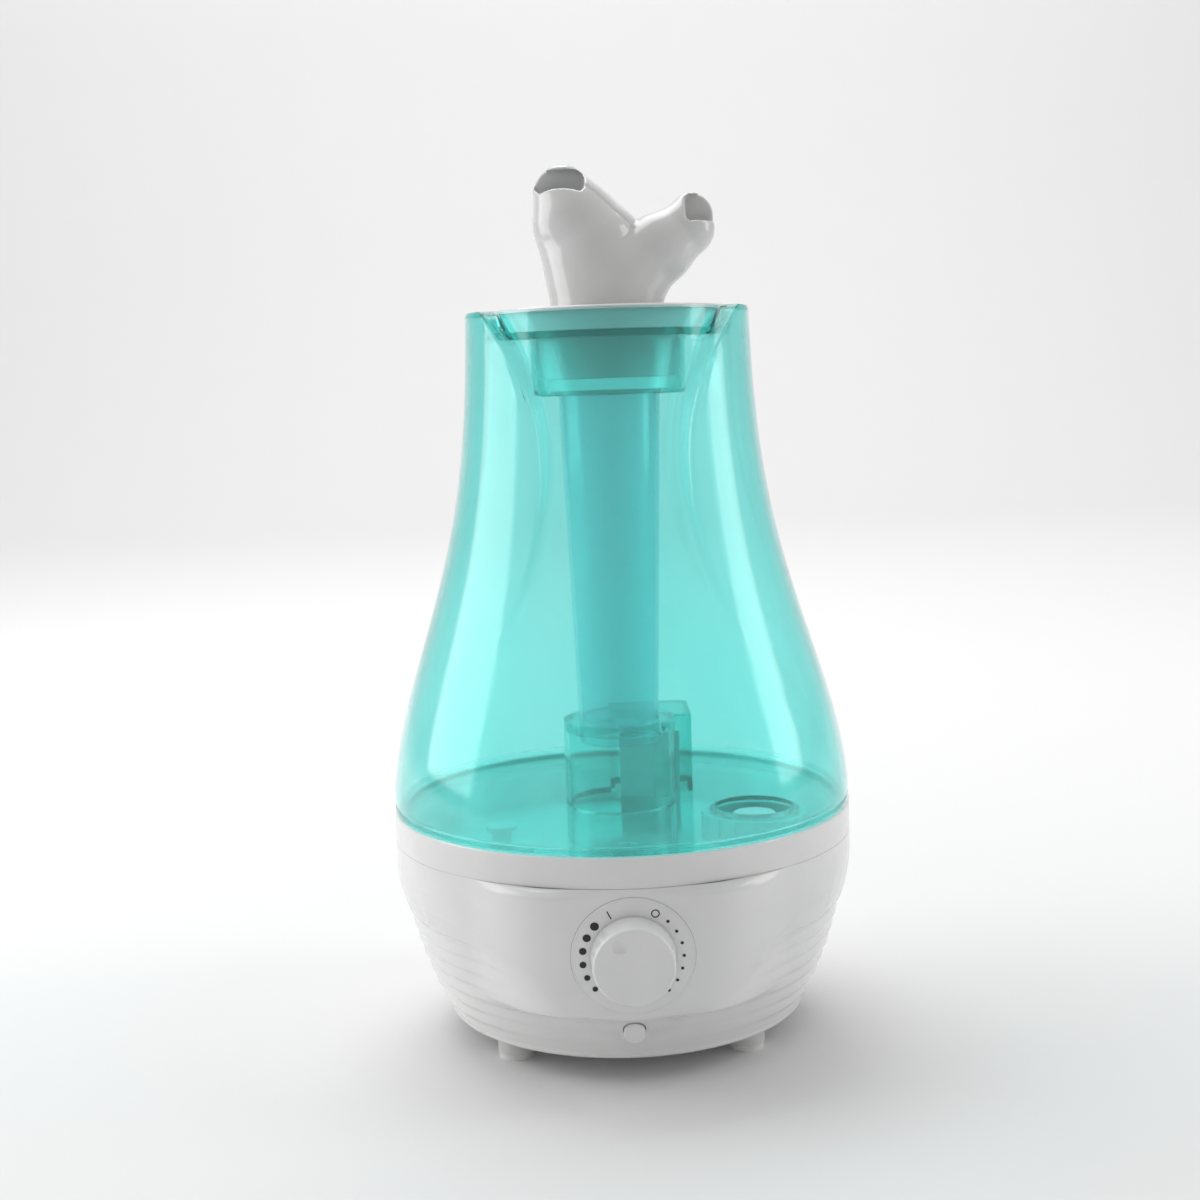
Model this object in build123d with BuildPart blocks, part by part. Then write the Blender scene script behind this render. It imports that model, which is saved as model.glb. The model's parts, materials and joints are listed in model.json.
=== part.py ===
from build123d import *
import math
import os

# Cool mist humidifier: a pear-shaped water tank on a round base that holds an ultrasonic mist maker.
# Millimetres, +Z up. Z = 0 is the surface that the feet stand on, the Z axis is the tank's axis,
# and the control knob faces -Y.

os.makedirs("parts", exist_ok=True)

# ---------------------------------------------------------------- clearances
LIFT_GAP = 0.3  # between pieces that lift off or slide past each other
SLIP_GAP = 0.1  # between pieces that are fastened or welded together
RUN_GAP = 0.05  # radial gap of a shaft in its bearing
PRESS_GAP = 0.02  # between pieces pressed or glued together
WELD_GAP = 0.05  # between the welded halves of the tank

# ---------------------------------------------------------------- overall sizes
BODY_R = 95.2  # basin ring, the widest part
FOOT_H = 10.0  # floor to the lower edge of the housing
HOUSING_H = 73.5  # housing, up to the basin ring
RING_H = 12.0  # basin ring
TANK_H = 202.5  # tank, above the basin ring
WALL = 2.4  # moulded walls

SEAM_Z = FOOT_H + HOUSING_H
RING_TOP = SEAM_Z + RING_H
TANK_Z = RING_TOP + LIFT_GAP
TANK_TOP = RING_TOP + TANK_H

# ---------------------------------------------------------------- base housing
HOUSING_FOOT_R = 73.5  # lower rim of the housing
RIB_COUNT = 7
RIB_LEDGE = 1.6  # how far one rib stands over the next
RIB_TOP_Z = SEAM_Z - 28.0
COVER_T = 2.5  # bottom cover
LEDGE_T = 2.4  # ledge that the cover screws up against
LEDGE_W = 3.0
PANEL_LOW_Z = 38.5  # lower edge of the smooth front panel, at its middle
PANEL_HALF_W = 80.0
PANEL_LEAN = 5.0  # degrees, the front panel's lean back towards its foot
PANEL_SWEEP = 26.0  # how far its lower edge climbs from the middle to the sides
PANEL_FOOT_DROP = 3.0  # the form it is cut from reaches this far below that edge

# ---------------------------------------------------------------- basin
TROUGH_Z = 72.0  # upper face of the trough's floor
TROUGH_T = 2.2
TROUGH_WALL_GAP = 1.2  # between the trough and the housing
WELL_R = 17.0  # well over the mist disc
WELL_Z = 56.0
CHIMNEY_X, CHIMNEY_Y = 13.5, 30.5
CHIMNEY_W, CHIMNEY_D = 26.0, 13.0
CHIMNEY_TOP = 118.0
CHIMNEY_T = 2.0
FOOT_X, FOOT_Y = 46.6, 41.0  # feet, with a cover screw up the middle of each
POST_R = 4.5
POST_Z = FOOT_H + 0.3 + COVER_T + 0.2

# ---------------------------------------------------------------- tank
TANK_FOOT_R = 95.0
TANK_NECK_R = 57.0
PEAR_SPAN = 98.3  # height over which the bell curve falls
PEAR_POWER = 1.92
RECESS_DEPTH = 7.5  # front and back panels stand this far inside the side lobes
RECESS_RUN = 130.0  # height of the recess below the tank's top
RECESS_FULL = 53.0  # depth below the top at which the recess is fully sunk
WAIST_BELOW = 70.0  # narrowest place between the lobes, below the top
WAIST_ANGLE = 29.0
COLLAR_R = 23.3  # collar round the mist tube's foot
COLLAR_H = 34.0
COLLAR_SKIRT_Z = 78.0
COLLAR_T = 2.0
POCKET_TOP = 128.0  # pocket over the chimney
POCKET_T = 2.0
FILL_X, FILL_Y = 54.1, -18.0  # filler opening
FILL_R = 16.0
FILL_NECK_T = 2.5
FILL_NECK_Z = 84.0
TUBE_FOOT_R = 16.7
TUBE_TOP_R = 20.8
TUBE_T = 1.6
TUBE_Z = 120.0
CUP_R = 31.5  # cup under the lid
CUP_Z = TANK_TOP - 34.0
CUP_T = 2.0
DECK_Z = TANK_TOP - 11.5
DECK_T = 2.5
DOME_Y = -68.0
DOME_R = 7.0

# ---------------------------------------------------------------- lid and nozzle
LID_R = 49.9
LID_T = 1.6
LID_SKIRT_R = 47.2
LID_SKIRT_T = 2.0
LID_NECK_H = 26.0
LID_NECK_T = 2.0
NOZZLE_R = 23.0
NOZZLE_H = 59.0
SPIGOT_R = 21.6
SPIGOT_T = 2.0
SPIGOT_H = 14.0
NOZZLE_T = 2.2

# ---------------------------------------------------------------- controls
DIAL_Z = 57.3
DIAL_R = 23.3
DIAL_T = 1.4
DIAL_PROUD = 0.4  # the dial's face stands this far over the pad
KNOB_R = 16.0
KNOB_H = 10.2
KNOB_TAPER = 3.9
SHAFT_R = 3.0
BUSH_R = 3.5
POT_R = 8.5
BUTTON_DROP = 33.0  # button below the knob, along the panel
BUTTON_R = 4.1
BUTTON_FACE_W = -3.4
BUTTON_GAP = 0.35
BOARD_W = -22.0  # control board behind the dial's face
PCB_T = 1.6

# ---------------------------------------------------------------- fan
FAN_X, FAN_Y, FAN_Z = 8.0, 38.5, 16.0
FAN_SIZE = 50.0
FAN_H = 15.0
FAN_BORE_R = 23.2
FAN_HOLE = 40.0
FAN_HUB_R = 11.0
FAN_BLADES = 7
BLADE_PITCH = 38.0  # degrees
FAN_SHAFT_R = 1.5

# ---------------------------------------------------------------- mist disc
DISC_R = 10.0
DISC_T = 1.2
DISC_WINDOW_R = 8.5
CLAMP_R = 17.6
CLAMP_SCREW_R = 15.4

# ---------------------------------------------------------------- float
FLOAT_X, FLOAT_Y = -50.0, -22.0
FLOAT_R = 13.0
FLOAT_H = 8.6
FLOAT_POST_R = 4.0
FLOAT_TRAVEL = 6.0

# ---------------------------------------------------------------- inlet
INLET_Z = 30.0
INLET_R = 4.0
INLET_BORE_R = 2.85
INLET_Y = 79.0


def pear_radius(z):
    """Outer radius of the tank at a height, a bell curve from its foot to its neck."""
    rise = max(z - RING_TOP, 0.0)
    return TANK_NECK_R + (TANK_FOOT_R - TANK_NECK_R) * math.exp(-((rise / PEAR_SPAN) ** PEAR_POWER))


def crease_angle(z):
    """Angle, from straight ahead, of the crease between a lobe and the recessed panel."""
    above = z - (TANK_TOP - WAIST_BELOW)
    if above > 0:
        return WAIST_ANGLE + 34.0 * (above / 70.0) ** 2.6
    return WAIST_ANGLE + 8.5 * (-above / 56.0) ** 1.88


def recess_depth(z):
    """How far the panel is sunk at a height."""
    share = (z - (TANK_TOP - RECESS_RUN)) / (RECESS_RUN - RECESS_FULL)
    share = min(max(share, 0.0), 1.0)
    return RECESS_DEPTH * share * share * (3.0 - 2.0 * share)


def housing_radius(z):
    """Radius of the housing's curve, which the ribs follow, at a height."""
    rise = z - FOOT_H
    span = RIB_TOP_Z - FOOT_H
    share = rise / span
    return HOUSING_FOOT_R + (BODY_R - 5.2 - HOUSING_FOOT_R) * (1.45 * share - 0.45 * share * share)


def turn(points, centre=(0.0, 0.0), mode=Mode.ADD):
    """Turn a closed outline of (radius, height) points about a vertical axis."""
    plane = Plane(origin=(centre[0], centre[1], 0), x_dir=(1, 0, 0), z_dir=(0, -1, 0))
    with BuildSketch(plane) as outline:
        with BuildLine():
            Polyline(*points, close=True)
        make_face()
    revolve(outline.sketch, axis=Axis((centre[0], centre[1], 0), (0, 0, 1)), mode=mode)


def tube(centre, outer, inner, low, high, mode=Mode.ADD):
    """An upright tube between two heights."""
    turn([(inner, low), (outer, low), (outer, high), (inner, high)], centre, mode)


def peg(centre, radius, low, high, mode=Mode.ADD):
    """An upright round bar between two heights."""
    with BuildSketch(Plane.XY.offset(low)) as section:
        with Locations(centre):
            Circle(radius)
    extrude(section.sketch, amount=high - low, mode=mode)


def block(centre, size, low, high, mode=Mode.ADD):
    """An upright rectangular bar between two heights."""
    with BuildSketch(Plane.XY.offset(low)) as section:
        with Locations(centre):
            Rectangle(size[0], size[1])
    extrude(section.sketch, amount=high - low, mode=mode)


def bar(plane, radius, start, end, at=(0.0, 0.0), mode=Mode.ADD):
    """A round bar along a plane's normal, between two distances from the plane."""
    with BuildSketch(plane.offset(start)) as section:
        with Locations(at):
            Circle(radius)
    extrude(section.sketch, amount=end - start, mode=mode)


def finish(build, label):
    """Name a finished piece and write its STEP file."""
    build.part.label = label
    export_step(build.part, f"parts/{label}.step")


FOOT_PLACES = [(x, y) for x in (-FOOT_X, FOOT_X) for y in (-FOOT_Y, FOOT_Y)]
LEAN = math.radians(PANEL_LEAN)
FLAT_BAND_Z = SEAM_Z - 11.5  # the front panel is upright above this height
DIAL_Y = -(BODY_R - (FLAT_BAND_Z - DIAL_Z) * math.tan(LEAN)) + 0.2
FRONT_DIR = (0, -math.cos(LEAN), -math.sin(LEAN))
FRONT = Plane(origin=(0, DIAL_Y, DIAL_Z), x_dir=(1, 0, 0), z_dir=FRONT_DIR)
BUTTON_AT = (0.0, -BUTTON_DROP)
REAR = Plane(origin=(0, INLET_Y, INLET_Z), x_dir=(-1, 0, 0), z_dir=(0, 1, 0))

# ================================================================ base housing
RIB_PITCH = (RIB_TOP_Z - FOOT_H - 2.0) / RIB_COUNT
COVER_R = HOUSING_FOOT_R - WALL - 0.3
PLATE_TOP = FOOT_H + 0.3 + COVER_T


def housing_outline():
    """Outer outline of the housing from its foot to the basin ring, with one step for each rib."""
    points = [(HOUSING_FOOT_R, FOOT_H)]
    for rib in range(RIB_COUNT, 0, -1):
        top = RIB_TOP_Z - (rib - 1) * RIB_PITCH
        low = top - RIB_PITCH
        points.append((housing_radius(low) + RIB_LEDGE / 2, low))
        points.append((housing_radius(top) - RIB_LEDGE / 2, top))
    points.append((BODY_R - 4.0, RIB_TOP_Z))
    points.append((BODY_R - 2.1, RIB_TOP_Z + 7.0))
    points.append((BODY_R - 0.4, RIB_TOP_Z + 15.0))
    points.append((BODY_R, SEAM_Z - 6.0))
    points.append((BODY_R, SEAM_Z))
    return points


def housing_inside():
    """Inner outline of the housing, from the top down to the cover's seat."""
    points = [(BODY_R - WALL - 0.2, SEAM_Z), (BODY_R - WALL - 0.2, RIB_TOP_Z + 17.0)]
    points.append((BODY_R - 4.0 - WALL - 0.6, RIB_TOP_Z + 1.0))
    inset = RIB_LEDGE / 2 + WALL
    low = PLATE_TOP + LEDGE_T
    for step in range(6):
        z = RIB_TOP_Z - 2.0 - step * (RIB_TOP_Z - 2.0 - low) / 5
        points.append((housing_radius(z) - inset, z))
    points.append((COVER_R + 0.3 - LEDGE_W, low))
    points.append((COVER_R + 0.3 - LEDGE_W, PLATE_TOP + SLIP_GAP))
    points.append((COVER_R + 0.3, PLATE_TOP + SLIP_GAP))
    points.append((COVER_R + 0.3, FOOT_H))
    return points


def front_panel(inset):
    """The smooth front panel's form: a leaning wall, cut to the panel's swept outline."""
    top_r = BODY_R - inset
    drop = FLAT_BAND_Z - (PANEL_LOW_Z - PANEL_FOOT_DROP)
    low_r = top_r - drop * math.tan(LEAN)
    with BuildPart() as form:
        foot_z = PANEL_LOW_Z - PANEL_FOOT_DROP
        turn([(0, foot_z), (low_r, foot_z), (top_r, FLAT_BAND_Z), (top_r, SEAM_Z), (0, SEAM_Z)])
        edge_z = PANEL_LOW_Z + PANEL_SWEEP + inset
        with BuildSketch(Plane.XZ):
            with BuildLine():
                sweep_line = Spline(
                    (-PANEL_HALF_W + inset, edge_z),
                    (0, PANEL_LOW_Z + inset),
                    (PANEL_HALF_W - inset, edge_z),
                    tangents=[(1, 0), (1, 0)],
                )
                side = PANEL_HALF_W - inset
                Polyline(sweep_line @ 1, (side, SEAM_Z), (-side, SEAM_Z), sweep_line @ 0)
            make_face()
        extrude(amount=BODY_R + 5, mode=Mode.INTERSECT)
    return form.part


panel_outer = front_panel(0.0)
panel_inner = front_panel(WALL)

with BuildPart() as housing_hollow:
    turn([(0, FOOT_H), *reversed(housing_inside()), (0, SEAM_Z)])
    add(panel_inner)

with BuildPart() as base_housing:
    turn([(0, FOOT_H), *housing_outline(), (0, SEAM_Z)])
    add(panel_outer)
    # Flat round pad for the dial, square to the leaning panel.
    bar(FRONT, DIAL_R + 1.0, -6.0, 0.0)
    bar(FRONT, DIAL_R + 1.0, 0.0, 6.0, mode=Mode.SUBTRACT)
    add(housing_hollow.part, mode=Mode.SUBTRACT)
    bar(FRONT, POT_R + 2.5, -DIAL_T - WALL, -DIAL_T)
    bar(FRONT, DIAL_R + SLIP_GAP, -DIAL_T + 0.2, 0.0, mode=Mode.SUBTRACT)
    bar(FRONT, BUSH_R + 0.2, -10.0, 1.0, mode=Mode.SUBTRACT)
    # Button guide.
    bar(FRONT, BUTTON_R + BUTTON_GAP + 1.9, -15.0, -9.5, at=BUTTON_AT)
    bar(FRONT, BUTTON_R + BUTTON_GAP, -16.0, 2.0, at=BUTTON_AT, mode=Mode.SUBTRACT)
    # Flat pocket for the power inlet.
    with BuildSketch(REAR.offset(-WALL - 2.4)):
        Rectangle(22, 14)
    extrude(amount=WALL + 2.4)
    with BuildSketch(REAR):
        Rectangle(18, 12)
    extrude(amount=20, mode=Mode.SUBTRACT)
    bar(REAR, INLET_R + SLIP_GAP, -6.0, 1.0, mode=Mode.SUBTRACT)
finish(base_housing, "base_housing")

# ================================================================ water basin
TROUGH_OUT = BODY_R - WALL - TROUGH_WALL_GAP
TROUGH_UNDER = TROUGH_Z - TROUGH_T
WELL_UNDER = WELL_Z - TROUGH_T
TROUGH_IN = TROUGH_OUT - TROUGH_T
RING_IN = BODY_R - WALL - 0.1
PIN_TOP = TROUGH_Z + 3.2
CLAMP_ANGLES = [math.radians(turned) for turned in (30, 150, 270)]
CLAMP_SCREWS = [(CLAMP_SCREW_R * math.cos(a), CLAMP_SCREW_R * math.sin(a)) for a in CLAMP_ANGLES]
FLOAT_LOW = TROUGH_Z + 0.4
FLOAT_POST_TOP = FLOAT_LOW + FLOAT_H + FLOAT_TRAVEL + 0.4

with BuildPart() as water_basin:
    turn([
        (0, WELL_UNDER), (WELL_R + TROUGH_T, WELL_UNDER), (WELL_R + TROUGH_T, TROUGH_UNDER),
        (TROUGH_OUT, TROUGH_UNDER), (TROUGH_OUT, SEAM_Z + SLIP_GAP), (BODY_R, SEAM_Z + SLIP_GAP),
        (BODY_R, RING_TOP - 0.6), (BODY_R - 0.6, RING_TOP), (RING_IN, RING_TOP), (RING_IN, RING_TOP - 7.5),
        (TROUGH_IN, RING_TOP - 9.5), (TROUGH_IN, TROUGH_Z), (WELL_R, TROUGH_Z), (WELL_R, WELL_Z), (0, WELL_Z),
    ])
    # Air chimney, which stands above the water.
    block((CHIMNEY_X, CHIMNEY_Y), (CHIMNEY_W, CHIMNEY_D), TROUGH_UNDER, CHIMNEY_TOP)
    block(
        (CHIMNEY_X, CHIMNEY_Y),
        (CHIMNEY_W - 2 * CHIMNEY_T, CHIMNEY_D - 2 * CHIMNEY_T),
        TROUGH_UNDER - 1,
        CHIMNEY_TOP + 1,
        mode=Mode.SUBTRACT,
    )
    peg((0, 0), DISC_WINDOW_R, WELL_UNDER - 1, WELL_Z + 1, mode=Mode.SUBTRACT)
    for place in CLAMP_SCREWS:
        peg(place, 2.6, WELL_UNDER - 4.0, WELL_UNDER)
        peg(place, 1.2, WELL_UNDER - 5.0, WELL_UNDER, mode=Mode.SUBTRACT)
    # Posts that the cover screws pull on.
    for place in FOOT_PLACES:
        peg(place, POST_R, POST_Z, TROUGH_UNDER)
        peg(place, 1.5, POST_Z - 1, POST_Z + 14, mode=Mode.SUBTRACT)
    # Float post and the pin that opens the tank's valve.
    peg((FLOAT_X, FLOAT_Y), FLOAT_POST_R, TROUGH_Z, FLOAT_POST_TOP)
    peg((FLOAT_X, FLOAT_Y), 1.6, FLOAT_POST_TOP - 6, FLOAT_POST_TOP + 1, mode=Mode.SUBTRACT)
    peg((FILL_X, FILL_Y), 3.0, TROUGH_Z, PIN_TOP)
finish(water_basin, "water_basin")

# ================================================================ bottom cover, feet and screws
FAN_CORNERS = [(FAN_X + sx * FAN_HOLE / 2, FAN_Y + sy * FAN_HOLE / 2) for sx in (-1, 1) for sy in (-1, 1)]
DRIVER_X, DRIVER_Y, DRIVER_Z = -42.0, 0.0, 18.0
DRIVER_SIZE = (44.0, 60.0)
DRIVER_CORNERS = [(DRIVER_X + sx * 16.0, DRIVER_Y + sy * 24.0) for sx in (-1, 1) for sy in (-1, 1)]
FOOT_R = 7.4
PAD_T = 2.5
HEAD_Z = 9.0

with BuildPart() as bottom_cover:
    peg((0, 0), COVER_R, FOOT_H + 0.3, PLATE_TOP)
    for place in FOOT_PLACES:
        peg(place, FOOT_R, PAD_T + SLIP_GAP, FOOT_H + 0.3)
        peg(place, 4.2, PAD_T, HEAD_Z, mode=Mode.SUBTRACT)
        peg(place, 1.7, HEAD_Z - 1, PLATE_TOP + 1, mode=Mode.SUBTRACT)
    # Air grille under the fan.
    with BuildSketch(Plane.XY.offset(FOOT_H)):
        with Locations((FAN_X, FAN_Y - 2.0)):
            with GridLocations(6.0, 1.0, 7, 1):
                SlotOverall(38, 3.0, rotation=90)
    extrude(amount=COVER_T + 1, mode=Mode.SUBTRACT)
    for place in FAN_CORNERS:
        peg(place, 3.0, PLATE_TOP, FAN_Z - SLIP_GAP)
        peg(place, 1.4, PLATE_TOP - 1.5, FAN_Z, mode=Mode.SUBTRACT)
    for place in DRIVER_CORNERS:
        peg(place, 2.6, PLATE_TOP, DRIVER_Z - SLIP_GAP)
finish(bottom_cover, "bottom_cover")

with BuildPart() as foot_pads:
    for place in FOOT_PLACES:
        peg(place, FOOT_R - 0.5, 0.0, PAD_T)
        peg(place, 4.1, PAD_T, PAD_T + 2.5)
finish(foot_pads, "foot_pads")

with BuildPart() as cover_screws:
    for place in FOOT_PLACES:
        peg(place, 3.4, HEAD_Z - 2.4, HEAD_Z - SLIP_GAP)
        peg(place, 1.45, HEAD_Z - SLIP_GAP, POST_Z + 12)
        with BuildSketch(Plane.XY.offset(HEAD_Z - 2.4)):
            with Locations(place):
                Rectangle(4.0, 0.9)
                Rectangle(0.9, 4.0)
        extrude(amount=1.0, mode=Mode.SUBTRACT)
finish(cover_screws, "cover_screws")

# ================================================================ fan
FAN_TOP = FAN_Z + FAN_H
FAN_AT = (FAN_X, FAN_Y)

with BuildPart() as fan_frame:
    block(FAN_AT, (FAN_SIZE, FAN_SIZE), FAN_Z, FAN_TOP)
    peg(FAN_AT, FAN_BORE_R, FAN_Z - 1, FAN_TOP + 1, mode=Mode.SUBTRACT)
    block(FAN_AT, (2 * FAN_BORE_R + 1, 3.0), FAN_Z, FAN_Z + 1.6)
    block(FAN_AT, (3.0, 2 * FAN_BORE_R + 1), FAN_Z, FAN_Z + 1.6)
    peg(FAN_AT, FAN_HUB_R, FAN_Z, FAN_Z + 1.6)
    peg(FAN_AT, 4.0, FAN_Z + 1.6, FAN_Z + 11.0)
    peg(FAN_AT, 3.0 + SLIP_GAP, FAN_Z + 1.6, FAN_Z + 11.5, mode=Mode.SUBTRACT)
    for place in FAN_CORNERS:
        peg(place, 1.7, FAN_Z - 1, FAN_TOP + 1, mode=Mode.SUBTRACT)
finish(fan_frame, "fan_frame")

with BuildPart() as fan_bearing:
    tube(FAN_AT, 3.0, FAN_SHAFT_R + RUN_GAP, FAN_Z + 2.2, FAN_Z + 10.8)
finish(fan_bearing, "fan_bearing")

FAN_SHAFT_TOP = FAN_TOP - 2.6
with BuildPart() as fan_shaft:
    peg(FAN_AT, FAN_SHAFT_R, FAN_Z + 2.0, FAN_SHAFT_TOP)
finish(fan_shaft, "fan_shaft")

with BuildPart() as fan_rotor:
    # The hub is a cap over the bearing, with a boss that the shaft is pressed into.
    bore_r = FAN_SHAFT_R + PRESS_GAP
    boss_low, cap_low, cap_top = FAN_Z + 11.4, FAN_SHAFT_TOP, FAN_TOP - 1.4
    skirt_in, skirt_low = FAN_HUB_R - 1.3, FAN_Z + 2.4
    turn([
        (bore_r, boss_low), (3.2, boss_low), (3.2, cap_low), (skirt_in, cap_low),
        (skirt_in, skirt_low), (FAN_HUB_R, skirt_low), (FAN_HUB_R, cap_top), (0, cap_top),
        (0, cap_low + PRESS_GAP), (bore_r, cap_low + PRESS_GAP),
    ], FAN_AT)
    blade_reach = FAN_BORE_R - FAN_HUB_R - 0.9
    blade_z = FAN_Z + FAN_H / 2 + 0.7
    for blade in range(FAN_BLADES):
        with Locations(Location((FAN_X, FAN_Y, blade_z), (0, 0, 360.0 / FAN_BLADES * blade))):
            with Locations((FAN_HUB_R + blade_reach / 2 - 0.4, 0, 0)):
                Box(blade_reach, 1.3, 12.4, rotation=(BLADE_PITCH, 0, 0))
finish(fan_rotor, "fan_rotor")

DUCT_TOP = TROUGH_UNDER - SLIP_GAP
DUCT_FLANGE_TOP = FAN_TOP + SLIP_GAP + 2.0

with BuildPart() as air_duct:
    block(FAN_AT, (FAN_SIZE, FAN_SIZE), FAN_TOP + SLIP_GAP, DUCT_FLANGE_TOP)
    with BuildSketch(Plane.XY.offset(DUCT_FLANGE_TOP)):
        with Locations(FAN_AT):
            Circle(FAN_BORE_R + 1.6)
    with BuildSketch(Plane.XY.offset(DUCT_TOP)):
        with Locations((CHIMNEY_X, CHIMNEY_Y)):
            RectangleRounded(CHIMNEY_W, CHIMNEY_D, 1.5)
    loft()
    with BuildSketch(Plane.XY.offset(DUCT_FLANGE_TOP - 0.01)):
        with Locations(FAN_AT):
            Circle(FAN_BORE_R)
    with BuildSketch(Plane.XY.offset(DUCT_TOP + 0.01)):
        with Locations((CHIMNEY_X, CHIMNEY_Y)):
            RectangleRounded(CHIMNEY_W - 2 * CHIMNEY_T, CHIMNEY_D - 2 * CHIMNEY_T, 1.0)
    loft(mode=Mode.SUBTRACT)
    peg(FAN_AT, FAN_BORE_R, FAN_TOP, DUCT_FLANGE_TOP, mode=Mode.SUBTRACT)
    for place in FAN_CORNERS:
        peg(place, 1.7, FAN_TOP, DUCT_FLANGE_TOP + 1, mode=Mode.SUBTRACT)
        peg(place, 3.2, DUCT_FLANGE_TOP, DUCT_FLANGE_TOP + 4, mode=Mode.SUBTRACT)
finish(air_duct, "air_duct")

with BuildPart() as fan_screws:
    for place in FAN_CORNERS:
        peg(place, 1.35, PLATE_TOP - 1.0, DUCT_FLANGE_TOP + SLIP_GAP)
        peg(place, 2.9, DUCT_FLANGE_TOP + SLIP_GAP, DUCT_FLANGE_TOP + 2.0)
finish(fan_screws, "fan_screws")

# ================================================================ mist disc under the well
SEAL_LOW = WELL_UNDER - 3.9
DISC_LOW = SEAL_LOW + 1.5

with BuildPart() as transducer_seal:
    turn([
        (DISC_WINDOW_R, SEAL_LOW), (DISC_R + 2.4, SEAL_LOW), (DISC_R + 2.4, WELL_UNDER - SLIP_GAP),
        (DISC_WINDOW_R, WELL_UNDER - SLIP_GAP), (DISC_WINDOW_R, DISC_LOW + DISC_T + 0.05),
        (DISC_R + 0.05, DISC_LOW + DISC_T + 0.05), (DISC_R + 0.05, DISC_LOW - 0.05),
        (DISC_WINDOW_R, DISC_LOW - 0.05),
    ])
finish(transducer_seal, "transducer_seal")

with BuildPart() as transducer_disc:
    peg((0, 0), DISC_R, DISC_LOW, DISC_LOW + DISC_T)
finish(transducer_disc, "transducer_disc")

CLAMP_TOP = SEAL_LOW - SLIP_GAP
with BuildPart() as transducer_clamp:
    tube((0, 0), CLAMP_R, DISC_WINDOW_R, CLAMP_TOP - 2.0, CLAMP_TOP)
    for place in CLAMP_SCREWS:
        peg(place, 1.3, CLAMP_TOP - 3, CLAMP_TOP + 1, mode=Mode.SUBTRACT)
finish(transducer_clamp, "transducer_clamp")

with BuildPart() as transducer_screws:
    for place in CLAMP_SCREWS:
        peg(place, 2.2, CLAMP_TOP - 2.0 - 1.6, CLAMP_TOP - 2.0 - SLIP_GAP)
        peg(place, 1.1, CLAMP_TOP - 2.0 - SLIP_GAP, WELL_UNDER - 0.4)
finish(transducer_screws, "transducer_screws")

# ================================================================ driver board and its parts
BOARD_TOP = DRIVER_Z + PCB_T

with BuildPart() as driver_board:
    block((DRIVER_X, DRIVER_Y), DRIVER_SIZE, DRIVER_Z, BOARD_TOP)
    for place in ((DRIVER_X + 17.5, DRIVER_Y - 14), (DRIVER_X + 17.5, DRIVER_Y - 2)):
        block(place, (7.0, 9.0), BOARD_TOP, BOARD_TOP + 6.5)
finish(driver_board, "driver_board")

SINK_X, SINK_Y = DRIVER_X - 4.0, DRIVER_Y - 10.0
with BuildPart() as heat_sink:
    block((SINK_X, SINK_Y), (24.0, 32.0), BOARD_TOP + SLIP_GAP, BOARD_TOP + 3.0)
    with BuildSketch(Plane.XY.offset(BOARD_TOP + 3.0)):
        with Locations((SINK_X, SINK_Y)):
            with GridLocations(4.4, 1.0, 6, 1):
                Rectangle(1.4, 32.0)
    extrude(amount=15.0)
finish(heat_sink, "heat_sink")

with BuildPart() as power_transistor:
    block((SINK_X + 15.0, SINK_Y + 2.0), (4.4, 10.0), BOARD_TOP + SLIP_GAP + 3.0, BOARD_TOP + 18.0)
    for lead in (-2.5, 0.0, 2.5):
        lead_at = (SINK_X + 15.0, SINK_Y + 2.0 + lead)
        block(lead_at, (0.6, 0.9), BOARD_TOP + SLIP_GAP, BOARD_TOP + SLIP_GAP + 3.0)
finish(power_transistor, "power_transistor")

with BuildPart() as driver_coil:
    tube((DRIVER_X + 11.0, DRIVER_Y + 16.0), 8.0, 3.6, BOARD_TOP + SLIP_GAP, BOARD_TOP + 7.5)
finish(driver_coil, "driver_coil")

with BuildPart() as driver_capacitors:
    for place in ((DRIVER_X - 13.0, DRIVER_Y + 18.0), (DRIVER_X - 2.0, DRIVER_Y + 22.0)):
        peg(place, 4.5, BOARD_TOP + SLIP_GAP, BOARD_TOP + 13.0)
finish(driver_capacitors, "driver_capacitors")

# ================================================================ controls behind the front panel
WALL_BACK = -DIAL_T - WALL
POT_FRONT = WALL_BACK - 0.8

with BuildPart() as dial_plate:
    bar(FRONT, DIAL_R, -DIAL_T + 0.3, DIAL_PROUD)
    bar(FRONT, 6.2, -DIAL_T, 1.0, mode=Mode.SUBTRACT)
finish(dial_plate, "dial_plate")

with BuildPart() as control_pot:
    bar(FRONT, POT_R, POT_FRONT - 7.0, POT_FRONT)
    bar(FRONT, BUSH_R, POT_FRONT, 0.6)
    bar(FRONT, SHAFT_R + RUN_GAP, POT_FRONT - 5.0, 1.0, mode=Mode.SUBTRACT)
    for lead in (-5.0, 0.0, 5.0):
        with BuildSketch(FRONT.offset(BOARD_W + SLIP_GAP)):
            with Locations((lead, 0)):
                Rectangle(1.2, 0.6)
        extrude(amount=POT_FRONT - 7.0 - BOARD_W - SLIP_GAP)
finish(control_pot, "control_pot")

with BuildPart() as pot_washer:
    bar(FRONT, 6.0, POT_FRONT + SLIP_GAP, WALL_BACK - SLIP_GAP)
    bar(FRONT, BUSH_R + SLIP_GAP, POT_FRONT, WALL_BACK, mode=Mode.SUBTRACT)
finish(pot_washer, "pot_washer")

with BuildPart() as pot_nut:
    with BuildSketch(FRONT.offset(-DIAL_T + 0.3)):
        RegularPolygon(5.4, 6)
        Circle(BUSH_R + PRESS_GAP, mode=Mode.SUBTRACT)
    extrude(amount=1.6)
finish(pot_nut, "pot_nut")

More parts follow.
